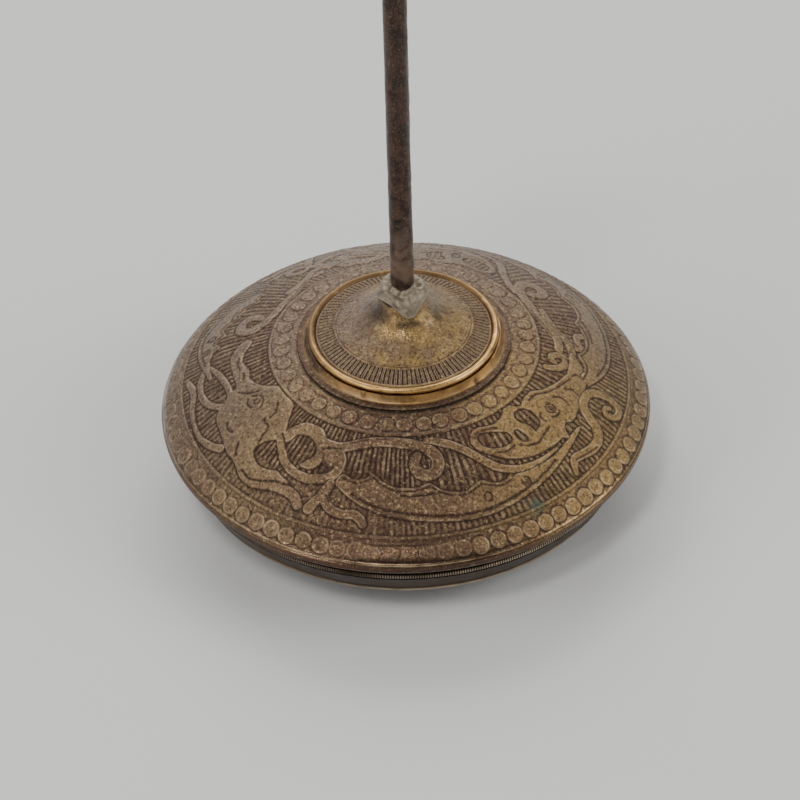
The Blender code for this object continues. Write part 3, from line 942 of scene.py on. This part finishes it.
def make_bead():
    """The gold bead, wider towards the cap and dark on that side."""
    rows = 22
    turn = np.radians(np.arange(rows) * 360 / rows)
    thick = (BEAD_HIGH - BEAD_LOW) / 2
    broad = np.where(np.cos(turn) < 0, 1.33 * thick, 0.85 * thick)
    radius = BEAD - thick + broad * np.cos(turn)
    height = (BEAD_LOW + BEAD_HIGH) / 2 + thick * np.sin(turn)
    outline = np.stack([radius, height], axis=1)
    shape = (TURNED_COLUMNS, rows)
    theta = angles(TURNED_COLUMNS)
    lift = 0.03 * grain(shape, 5, 61) + 0.015 * grain(shape, 1, 62)
    masks = {
        "hollow": unit(grain(shape, 3, 63) * 2 - 0.5 + 2.0 * (np.cos(turn) < 0.1)),
        "mauve": unit(sector(theta, -118, 50) * 1.2 + faint(theta)) + np.zeros(shape),
    }
    return lathe("gold_bead", outline, lift, masks)


def cap_profile():
    """Outside of the cap from its top down to its edge."""
    neck = bend((5.9, CAP_TOP - 1.0), (7.4, CAP_TOP - 5.6), (16.6, CAP_TOP - 9.0), 40)
    edge = [(CAP - 0.4, CAP_TOP - 10.45), (CAP, CAP_TOP - 10.8), (CAP, CAP_LOW)]
    return chain([(5.4, CAP_TOP)], neck, edge)


def make_cap():
    """Concave neck, two fine rings and the ladder band at the edge."""
    outside = refine(chain([(ROD_HOLE, CAP_TOP)], cap_profile()), 0.26, closed=False)
    back = [(20.1, CAP_LOW), (19.5, CAP_LOW + 0.5), (16.4, CAP_TOP - 9.6), (10.6, CAP_TOP - 7.2),
            (7.6, CAP_TOP - 4.6), (5.0, CAP_TOP - 2.0), (ROD_HOLE, CAP_TOP - 1.8)]
    outline = np.vstack([outside, refine(back, 1.2, False)])
    columns = 1296
    rungs = 108
    shape = (columns, len(outline))
    theta = angles(columns)
    radius = outline[:, 0]
    shown = np.arange(len(outline)) < len(outside)
    belt = between(radius, 16.95, 17.15, 20.75, 20.95) * shown
    sway = 0.4 * np.sin(np.radians(theta * 5 + 20)) + 0.18 * grain(shape, 4, 71)
    zigzag = 0.35 * np.sin(radius * 7.5)
    wave = np.cos(np.radians((theta + sway) * rungs) + zigzag)
    rungs_up = step_up(wave, -0.5, 0.05) * (1 - 0.35 * step_up(wave, 0.8, 1.0))
    lift = belt * (0.26 * rungs_up - 0.22)
    for ring, height in ((21.15, 0.10), (16.75, 0.09), (16.1, 0.08)):
        lift = lift + height * hump(radius, ring, 0.16) * shown
    for ring in (16.45, 15.85):
        lift = lift - 0.10 * hump(radius, ring, 0.13) * shown
    x, y = plan(theta, radius)
    planish = 0.12 * patchy(x, y, 3.4, 72) + 0.06 * patchy(x, y, 1.3, 73)
    lift = lift + between(radius, 5.8, 7.5, 15.6, 16.4) * shown * planish
    lift = lift + shown * 0.035 * stipple(theta, radius, 74)
    fine = lift - blur(lift, 2)
    # Painted shadow: a dark ring on the neck below the solder flap's edge, put into the hollow mask.
    solder_shadow = sector(theta, -58, 34) * hump(radius, 6.9, 1.3)
    solder_shadow = solder_shadow + sector(theta, 14, 30) * hump(radius, 7.4, 0.45)
    raised = 0.85 - belt * (0.25 + (1 - rungs_up) * 0.7) + 0.4 * stipple(theta, radius, 75)
    polished = step_up(-radius, -12.5, -9.0) * (0.5 + 0.35 * patchy(x, y, 1.1, 79))
    gold = 1.2 * sector(theta, 4, 34) + 1.2 * sector(theta, 76, 32) * hump(radius, 13, 3.5)
    mauve = 1.3 * sector(theta, -100, 48) + 0.4 * belt
    masks = {
        "raised": unit(raised),
        "edge": unit(unit(fine / 0.06) * belt * 0.6 + hump(radius, 21.15, 0.2) * shown * 0.5),
        "polished": unit(polished) * shown,
        "hollow": unit(unit(-fine / 0.06) * (belt + hump(radius, 16.3, 0.6)) + 1.3 * solder_shadow * shown),
        "gold": unit(gold + 0.7 * patchy(x, y, 2.6, 76)) * (1 - belt),
        "mauve": unit(mauve + 0.4 * patchy(x, y, 3.0, 77)),
        "rust": 0.5 * belt + 0 * theta,
    }
    return lathe("ladder_cap", outline, lift, masks)


# --- Solder and iron ----------------------------------------------------------------------


def make_solder():
    """A crust of solder round the rod, with a pointed flap over the front of the neck."""
    columns = 288
    theta = angles(columns)
    knots = [(-180, 55.6, 5.9), (-135, 56.1, 5.8), (-90, 54.7, 5.95), (-66, 55.5, 6.3),
             (-45, 56.3, 6.5), (-26, 55.8, 6.5), (-6, 54.1, 6.75), (3, 53.0, 6.95),
             (12, 52.4, 7.05), (22, 52.6, 7.05), (30, 53.5, 6.9), (40, 55.1, 6.5),
             (60, 55.6, 6.3), (90, 56.2, 5.85), (135, 55.3, 5.9), (180, 55.6, 5.9)]
    turn, *knots = np.array(knots, float).T
    edge, reach = (blur(blur(blur(np.interp(theta, turn, values), 2), 2), 2) for values in knots)
    edge = edge + 0.12 * grain((columns, 1), 2, 81)
    reach = reach + 0.10 * grain((columns, 1), 2, 82)
    top = 58.7 - 0.8 * np.exp(-((theta / 45) ** 2)) + 0.5 * grain((columns, 1), 4, 83)
    neck = cap_profile()[::-1]
    under = np.interp(edge + 0.25, neck[:, 1], neck[:, 0]) + 0.12
    under = np.minimum(np.maximum(under, 5.55), reach - 0.35)
    low = np.minimum(edge + 0.1, CAP_TOP + 0.9)
    controls = [
        (ROD - 0.1 + 0 * top, top + 0.1),
        (ROD + 0.25 + 0 * top, top - 0.15),
        (ROD + 0.9 + 0 * top, top - 1.1),
        ((reach + ROD) / 2 + 0.55, (edge + top) / 2 + 0.6),
        (reach - 0.3, edge + 1.35),
        (reach - 0.05, edge + 0.55),
        (reach + 0.02, edge + 0.18),
        (reach - 0.12, edge),
        (reach - 0.4, edge + 0.05),
        (under, low + 0.05),
        (np.minimum(under, 5.62), np.maximum(edge + 0.1, CAP_TOP + 0.2) + 0 * top),
        (4.6 + 0 * top, np.maximum(edge + 0.1, CAP_TOP + 0.25)),
        (ROD - 0.1 + 0 * top, np.maximum(edge + 0.1, CAP_TOP + 0.3)),
    ]
    where = np.arange(4 * len(controls) - 3) / 4
    first = np.minimum(where.astype(int), len(controls) - 2)
    radius, height = (
        np.hstack([side[k] + (side[k + 1] - side[k]) * (t - k) for k, t in zip(first, where)])
        for side in zip(*controls)
    )
    shape = radius.shape
    row = np.arange(shape[1])
    bumps = 0.13 * grain(shape, 2, 84) + 0.3 * grain(shape, 7, 85)
    bumps *= (row < 30) * step_up(row, 1, 6)
    masks = {
        # Painted highlight: the edge mask pales the rows round the crust's rim.
        "edge": unit(hump(row, 23, 3.0) * (0.9 + 0.8 * grain(shape, 4, 86))),
        "hollow": unit(-2.2 * grain(shape, 4, 87) - 0.6 + 0.8 * hump(row, 0, 3)),
    }
    return revolve("solder_crust", radius + 0.6 * bumps, height + 0.8 * bumps, masks, 70)


def iron_skin(count, sides, seed, depth):
    """Pits and ridges of rusted iron, in millimetres, with a mask of the pits."""
    long_scale = grain((count, sides), 3, seed) * 0.6 + grain((count, sides), 9, seed + 1) * 0.6
    pits = unit(-grain((count, sides), 1, seed + 2) - 0.25)
    return depth * (long_scale - 1.3 * pits), unit(1.6 * pits)


def make_rod():
    """The rod with its rolled upper eye and the lower eye that carries the clapper."""
    hook = eye_arc(HOOK_LOW + 4.2, 3.0, 40, -245, 60)
    wire = [np.full(len(hook), 1.2)]
    neck = catmull([(-1.2, 35.3), (-0.25, 36.15), (0.0, 36.6), (0.0, 37.0)], 4)
    wire.append(np.interp(neck[:, 1], [35.3, 36.15, 36.6, 37.0], [1.2, 1.35, 2.2, ROD]))
    eye_centre = EYE_TOP - 8.5 - 2.75
    shaft_top = eye_centre - 8.5 - 5.0
    shaft = np.stack([np.zeros(300), np.linspace(37.2, shaft_top, 300)], axis=1)
    wire.append(np.full(300, ROD))
    turn = catmull([(0.0, shaft_top + 0.8), (-0.5, shaft_top + 3.4), (-1.9, shaft_top + 5.0)], 7)
    wire.append(np.linspace(ROD, 2.8, len(turn)))
    loop = eye_arc(eye_centre, 8.5, 245, -58, 130)
    loop = loop[2:]
    wire.append(np.linspace(2.8, 2.0, len(loop)))
    path = np.vstack([hook, neck[1:], shaft, turn, loop])
    radii = np.concatenate([wire[0], wire[1][1:], *wire[2:]])
    sides = 40
    rough, pits = iron_skin(len(path), sides, 91, 0.075)
    stray = soften(np.column_stack([0.05 * grain((len(path), 1), 26, 97), np.zeros(len(path))]), 2)
    straight = step_up(path[:, 1], 60, 75) * step_up(-path[:, 1], -150, -140)
    path[:, 0] += stray[:, 0] * straight
    radii = radii[:, None] * (1 + rough / 3) + rough * 0.3
    scraped = hump(path[:, 1:], 63, 12) * unit(0.6 + 1.4 * grain(rough.shape, 2, 98))
    return tube("pitted_rod", path, radii, sides, "XZ", {"hollow": pits, "edge": scraped})


def make_clapper():
    """Shank with its wire eye and riveted end, and the ball that it carries."""
    eye_height = CLAPPER_TOP - 1.1 - 3.0
    bottom = eye_height - 3.0
    stem = [(0.0, RIVET_LOW, 1.6), (0.0, RIVET_LOW + 0.15, 2.5), (0.0, RIVET_LOW + 0.5, 3.0),
            (0.0, RIVET_LOW + 0.8, 2.9), (0.0, RIVET_LOW + 1.1, 1.6)]
    stem += [(0.0, z, 1.6) for z in np.linspace(RIVET_LOW + 1.8, bottom - 2.2, 50)]
    stem += [(-0.15, bottom - 0.9, 1.35), (-0.7, bottom - 0.05, 1.15)]
    eye = eye_arc(eye_height, 3.0, 240, -38, 56)
    path = np.vstack([np.array(stem)[:, :2], eye])
    radii = np.concatenate([np.array(stem)[:, 2], np.full(len(eye), 1.1)])
    sides = 24
    rough, pits = iron_skin(len(path), sides, 101, 0.05)
    shank = tube("clapper_stem", path, radii[:, None] * (1 + rough / 2), sides, "YZ",
                 {"hollow": pits, "edge": np.clip(rough / 0.12, 0, 0.5)})

    bore = 1.6 + 0.3
    edge = math.asin(bore / BALL)
    turn = np.linspace(edge, math.pi - edge, 60)
    centre = (BALL_LOW + BALL_HIGH) / 2
    arc = np.stack([BALL * np.sin(turn), centre + BALL * np.cos(turn)], axis=1)
    hole = np.array([(bore, centre - 3.0), (bore, centre + 3.0)])
    outline = np.vstack([arc, hole])
    shape = (144, len(outline))
    rough, pits = iron_skin(*shape, 111, 0.12)
    rough[:, 58:] = 0
    struck = 0.12 * grain(shape, 7, 115)
    struck[:, 58:] = 0
    flash = 0.12 * hump(outline[:, 1], centre, 0.35) * (outline[:, 0] > 5)
    lift = rough + struck + flash - 0.1 * (outline[:, 0] > 2.5)
    ball = lathe("clapper_striker", outline, lift,
                 {"hollow": pits, "edge": np.clip(rough / 0.18, 0, 0.5)})
    return shank, ball


# --- Materials ----------------------------------------------------------------------------


def srgb(red, green, blue):
    """A colour given in 0-255 display values, as scene-linear RGBA."""
    parts = [v / 255 for v in (red, green, blue)]
    return (*[p / 12.92 if p <= 0.04045 else ((p + 0.055) / 1.055) ** 2.4 for p in parts], 1.0)


class Finish:
    """A Principled material and the few kinds of node that these surfaces use. A value given
    to a node is a number, a colour, the name of a vertex mask or another node's output."""

    def __init__(self, name, metallic, roughness, **settings):
        self.material = bpy.data.materials.new(name)
        self.material.use_nodes = True
        self.tree = self.material.node_tree
        self.shader = self.tree.nodes["Principled BSDF"]
        self.shader.inputs["Metallic"].default_value = metallic
        self.shader.inputs["Roughness"].default_value = roughness
        for socket, value in settings.items():
            self.shader.inputs[socket.replace("_", " ")].default_value = value
        self.place = self._node("TexCoord").outputs["Object"]

    def _node(self, kind):
        return self.tree.nodes.new("ShaderNode" + kind)

    def _join(self, socket, value):
        if isinstance(value, str):
            mask = self._node("Attribute")
            mask.attribute_name = value
            value = mask.outputs["Fac"]
        if isinstance(value, bpy.types.NodeSocket):
            self.tree.links.new(value, socket)
        else:
            socket.default_value = srgb(*value) if isinstance(value, tuple) else value

    def noise(self, size, detail, roughness, stretch=(1, 1, 1)):
        """Noise with features of about the given size in millimetres."""
        mapping = self._node("Mapping")
        mapping.inputs["Scale"].default_value = stretch
        self._join(mapping.inputs["Vector"], self.place)
        node = self._node("TexNoise")
        self._join(node.inputs["Vector"], mapping.outputs["Vector"])
        node.inputs["Scale"].default_value = 1 / (size * MM)
        node.inputs["Detail"].default_value = detail
        node.inputs["Roughness"].default_value = roughness
        return node.outputs["Fac"]

    def spread(self, value, low, high, out_low=0.0, out_high=1.0):
        """The value taken smoothly from one range to another."""
        node = self._node("MapRange")
        node.interpolation_type = "SMOOTHSTEP"
        for socket, number in zip(node.inputs, (value, low, high, out_low, out_high)):
            self._join(socket, number)
        return node.outputs[0]

    def mix(self, share, a, b):
        node = self._node("Mix")
        node.data_type = "RGBA"
        node.clamp_factor = True
        for socket, value in ((0, share), (6, a), (7, b)):
            self._join(node.inputs[socket], value)
        return node.outputs[2]

    def layered(self, colour, *coats):
        """The colour with coats of (share, colour) mixed over it in turn."""
        for share, coat in coats:
            colour = self.mix(share, colour, coat)
        return colour

    def maths(self, operation, a, b):
        node = self._node("Math")
        node.operation = operation
        self._join(node.inputs[0], a)
        self._join(node.inputs[1], b)
        return node.outputs[0]

    def times(self, a, b):
        return self.maths("MULTIPLY", a, b)

    def bump(self, height, strength, depth, before=None):
        """A bump of the given depth in millimetres, over an earlier one if there is one."""
        node = self._node("Bump")
        node.inputs["Strength"].default_value = strength
        node.inputs["Distance"].default_value = depth * MM
        self._join(node.inputs["Height"], height)
        if before is not None:
            self._join(node.inputs["Normal"], before)
        return node.outputs["Normal"]

    def use(self, colour, rough, normal):
        for name, value in (("Base Color", colour), ("Roughness", rough), ("Normal", normal)):
            self._join(self.shader.inputs[name], value)
        return self.material


def embossed_brass():
    """Aged brass in golden, mauve and reddish zones, darker where the punch went in."""
    finish = Finish("embossed_brass_aged", 0.85, 0.45, Sheen_Weight=0.2, Sheen_Roughness=0.5,
                    Sheen_Tint=(0.76, 0.67, 0.57, 1))
    patches = finish.noise(9, 4, 0.65)
    cloud = finish.noise(26, 3, 0.6)
    speck = finish.noise(0.62, 4, 0.8)
    pepper = finish.noise(0.85, 4, 0.8)
    high = finish.layered(
        (128, 102, 80),
        (finish.spread(patches, 0.36, 0.62), (140, 118, 84)),
        (finish.spread(cloud, 0.5, 0.68, 0, 0.5), (146, 118, 100)),
        (finish.times("gold", 0.8), (166, 134, 80)),
        (finish.times("mauve", 0.75), (132, 114, 102)),
        (finish.times("rust", 0.8), (98, 74, 57)),
    )
    low = finish.layered(
        (74, 54, 47),
        (finish.spread(patches, 0.4, 0.6), (84, 64, 48)),
        (finish.times("gold", 0.5), (92, 72, 50)),
        (finish.times("rust", 0.8), (58, 38, 33)),
        (finish.spread(cloud, 0.42, 0.6, 0.6, 0), (86, 55, 45)),
    )
    tooled = finish.spread("polished", 0, 1, 1, 0.25)
    # The raised mask also carries painted shadow lines round the figures and discs.
    colour = finish.layered(
        # The raised mask also carries the painted dark of the rim's roll.
        finish.mix("raised", low, high),
        (finish.times(finish.spread(speck, 0.48, 0.6, 0, 0.75), tooled), (58, 43, 34)),
        (finish.times(finish.spread(pepper, 0.52, 0.66, 0, 0.6), tooled), (204, 176, 128)),
        # The hollow mask darkens hollows; on the cap it also carries the painted shadow under the
        # solder flap.
        (finish.times("hollow", 0.7), (48, 34, 28)),
        # The edge mask is rubbed wear on the relief, and painted highlight along the rim's roll.
        (finish.times("edge", 0.55), (222, 192, 152)),
        ("verdigris", (76, 92, 78)),
    )
    rough = finish.spread("raised", 0, 1, 0.52, 0.36)
    rough = finish.maths("ADD", rough, finish.spread(speck, 0.3, 0.8, -0.10, 0.16))
    rough = finish.maths("SUBTRACT", rough, finish.times("polished", 0.2))
    normal = finish.bump(finish.times(speck, tooled), 1.0, 0.22)
    return finish.use(colour, rough, finish.bump(patches, 0.25, 0.35, normal))


def spun_brass():
    """Dark brown brass with the fine rings of spinning."""
    finish = Finish("spun_brass_aged", 0.9, 0.42)
    rings = finish.noise(0.7, 3, 0.6, (0.12, 0.12, 1.0))
    cloud = finish.noise(14, 4, 0.65)
    speck = finish.noise(0.5, 3, 0.7)
    colour = finish.layered(
        (51, 36, 25),
        (finish.spread(cloud, 0.4, 0.62), (70, 52, 35)),
        (finish.spread(rings, 0.45, 0.7, 0, 0.5), (56, 39, 31)),
        (finish.spread(speck, 0.56, 0.7, 0, 0.4), (120, 98, 76)),
        ("hollow", (22, 14, 9)),
        # The edge mask is painted highlight on the bowl's lip and on the crests of the milled teeth.
        (finish.times("edge", 0.9), (232, 212, 184)),
    )
    rough = finish.spread(cloud, 0.3, 0.7, 0.34, 0.5)
    return finish.use(colour, rough, finish.bump(rings, 0.3, 0.12))


def collar_brass():
    """Dull brown brass that turns golden where it is polished."""
    finish = Finish("collar_brass_aged", 0.88, 0.4)
    cloud = finish.noise(5, 4, 0.6)
    speck = finish.noise(0.6, 4, 0.8)
    pepper = finish.noise(1.1, 4, 0.8)
    dull = finish.layered(
        (92, 72, 60),
        (finish.spread(cloud, 0.4, 0.6), (112, 91, 72)),
        (finish.spread(speck, 0.48, 0.6, 0, 0.75), (54, 41, 34)),
        (finish.spread(pepper, 0.54, 0.64, 0, 0.6), (176, 150, 116)),
    )
    gold = finish.layered(
        (196, 152, 92),
        (finish.spread(cloud, 0.4, 0.62), (146, 110, 66)),
        (finish.spread(speck, 0.52, 0.66, 0, 0.4), (110, 84, 56)),
    )
    colour = finish.layered(
        finish.mix("polished", dull, gold),
        (finish.times("hollow", 0.6), (50, 36, 26)),
        (finish.times("edge", 0.9), (216, 184, 134)),
    )
    rough = finish.spread("polished", 0, 1, 0.48, 0.34)
    tooth = finish.times(speck, finish.spread("polished", 0, 1, 1, 0.45))
    return finish.use(colour, rough, finish.bump(tooth, 0.9, 0.16))


def polished_brass():
    """Bright gold brass, dulled at the left and the back."""
    finish = Finish("bead_brass_polished", 1.0, 0.26)
    cloud = finish.noise(4, 4, 0.6)
    speck = finish.noise(0.5, 3, 0.7)
    colour = finish.layered(
        (222, 180, 116),
        (finish.spread(cloud, 0.38, 0.62), (192, 150, 94)),
        (finish.times("mauve", 0.8), (128, 106, 82)),
        (finish.times("hollow", 0.65), (98, 74, 48)),
    )
    rough = finish.maths("ADD", finish.spread(speck, 0.3, 0.7, 0.24, 0.42), finish.times("mauve", 0.25))
    return finish.use(colour, rough, finish.bump(speck, 0.3, 0.06))


def wrought_iron(name, light, dark):
    """Scaled and rusted iron, dark in its pits and paler where it is scraped."""
    finish = Finish(name, 0.6, 0.36)
    scale = finish.noise(1.6, 5, 0.7, (1.0, 1.0, 0.35))
    speck = finish.noise(0.4, 3, 0.7)
    colour = finish.layered(
        dark,
        (finish.spread(scale, 0.4, 0.62), light),
        (finish.spread(speck, 0.54, 0.68, 0, 0.4), (158, 138, 122)),
        (finish.times("edge", 0.65), (140, 118, 102)),
        (finish.times("hollow", 0.8), (26, 17, 14)),
    )
    rough = finish.spread(scale, 0.3, 0.7, 0.26, 0.5)
    return finish.use(colour, rough, finish.bump(scale, 0.25, 0.18, finish.bump(speck, 0.35, 0.08)))


def lead_solder():
    """Dull grey solder, paler along its rim where a highlight is painted."""
    finish = Finish("lead_solder_dull", 0.55, 0.5)
    cloud = finish.noise(1.8, 4, 0.65)
    speck = finish.noise(0.35, 3, 0.7)
    colour = finish.layered(
        (126, 113, 95),
        (finish.spread(cloud, 0.4, 0.62), (154, 141, 122)),
        (finish.spread(speck, 0.54, 0.72, 0, 0.6), (94, 84, 72)),
        (finish.times("hollow", 0.7), (84, 72, 60)),
        (finish.times("edge", 0.35), (210, 200, 184)),
    )
    rough = finish.spread(cloud, 0.3, 0.7, 0.38, 0.6)
    return finish.use(colour, rough, finish.bump(cloud, 0.4, 0.25, finish.bump(speck, 0.4, 0.08)))


# --- Assembly -----------------------------------------------------------------------------


def fit(piece, body, slot, material, *nodes):
    paint(piece, material)
    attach(piece, body)
    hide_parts(*nodes)


def paint(piece, material):
    piece.data.materials.clear()
    piece.data.materials.append(material)


def build():
    """Every visible piece on its body, and the three hidden CAD solids in their materials."""
    brass, spun, solder = embossed_brass(), spun_brass(), lead_solder()
    iron = wrought_iron("wrought_iron_pitted", (74, 53, 42), (44, 31, 25))
    cast = wrought_iron("clapper_iron_rusted", (84, 66, 54), (46, 38, 34))
    for piece in make_upper_shell():
        fit(piece, "bell", "embossed_brass", brass, "upper_shell")
    fit(make_lower_shell(), "bell", "spun_brass", spun, "lower_shell")
    fit(make_milled_band(), "bell", "spun_brass", spun, "milled_band")
    fit(make_collar(), "bell", "embossed_brass", collar_brass(), "collar")
    fit(make_bead(), "bell", "polished_brass", polished_brass(), "bead_ring")
    fit(make_cap(), "bell", "embossed_brass", brass, "crown_cap")
    fit(make_solder(), "bell", "lead_solder", solder, "solder_fillet")
    fit(make_rod(), "bell", "wrought_iron", iron, "handle_rod")
    shank, ball = make_clapper()
    fit(shank, "clapper", "clapper_iron", cast, "clapper_shank")
    fit(ball, "clapper", "clapper_iron", cast, "clapper_ball")
    for node, material in (("seam_solder", solder), ("inner_solder", solder), ("inner_washer", cast)):
        paint(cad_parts[node], material)


# --- Studio -------------------------------------------------------------------------------


def make_floor():
    half = 3.0
    mesh = bpy.data.meshes.new("studio_floor")
    corners = [(-half, -half, 0), (half, -half, 0), (half, half, 0), (-half, half, 0)]
    mesh.from_pydata(corners, [], [(0, 1, 2, 3)])
    floor = add_object("studio_floor", mesh)
    paper = bpy.data.materials.new("studio_paper")
    paper.use_nodes = True
    shader = paper.node_tree.nodes["Principled BSDF"]
    shader.inputs["Base Color"].default_value = (0.72, 0.72, 0.70, 1)
    shader.inputs["Roughness"].default_value = 0.9
    mesh.materials.append(paper)


def add_light(name, place, size, power):
    """A rectangular light that faces the body."""
    data = bpy.data.lights.new(name, "AREA")
    data.shape = "RECTANGLE"
    data.size, data.size_y = size
    data.energy = power
    light = add_object(name, data)
    light.location = place
    aim = Vector((0, 0, 0.03)) - Vector(place)
    light.rotation_euler = aim.to_track_quat("-Z", "Y").to_euler()


def light_studio():
    world = bpy.data.worlds.new("studio")
    world.use_nodes = True
    background = world.node_tree.nodes["Background"]
    background.inputs["Color"].default_value = (1.0, 1.0, 1.0, 1)
    background.inputs["Strength"].default_value = 0.23
    bpy.context.scene.world = world
    add_light("back_softbox", (-0.1, 1.3, 1.1), (1.6, 0.9), 20)
    add_light("right_softbox", (1.2, -0.2, 0.8), (0.8, 0.8), 9)
    add_light("left_softbox", (-1.2, -0.3, 0.9), (0.8, 0.8), 6)
    add_light("low_left_softbox", (-0.9, -0.95, 0.5), (0.2, 0.2), 3.5)
    add_light("top_softbox", (-0.25, -0.55, 1.1), (0.2, 0.2), 3.6)


CAMERA_TILT = 41  # degrees, fitted to the rings of the body in the photograph
CAMERA_ROLL = -1.6


def add_camera():
    """Looks down from the front, a metre away, with the picture turned a little."""
    target = Vector((0, 0, 0.020))
    tilt = math.radians(CAMERA_TILT)
    place = target + Vector((0, -math.cos(tilt), math.sin(tilt)))
    data = bpy.data.cameras.new("camera")
    data.sensor_width = 36
    data.lens = 183.15
    data.shift_x = -0.0071
    data.shift_y = 0.00375
    camera = add_object("camera", data)
    facing = (target - place).to_track_quat("-Z", "Y").to_matrix().to_4x4()
    roll = Matrix.Rotation(math.radians(CAMERA_ROLL), 4, "Z")
    camera.matrix_world = Matrix.Translation(place) @ facing @ roll
    bpy.context.scene.camera = camera


build()
make_floor()
light_studio()
add_camera()
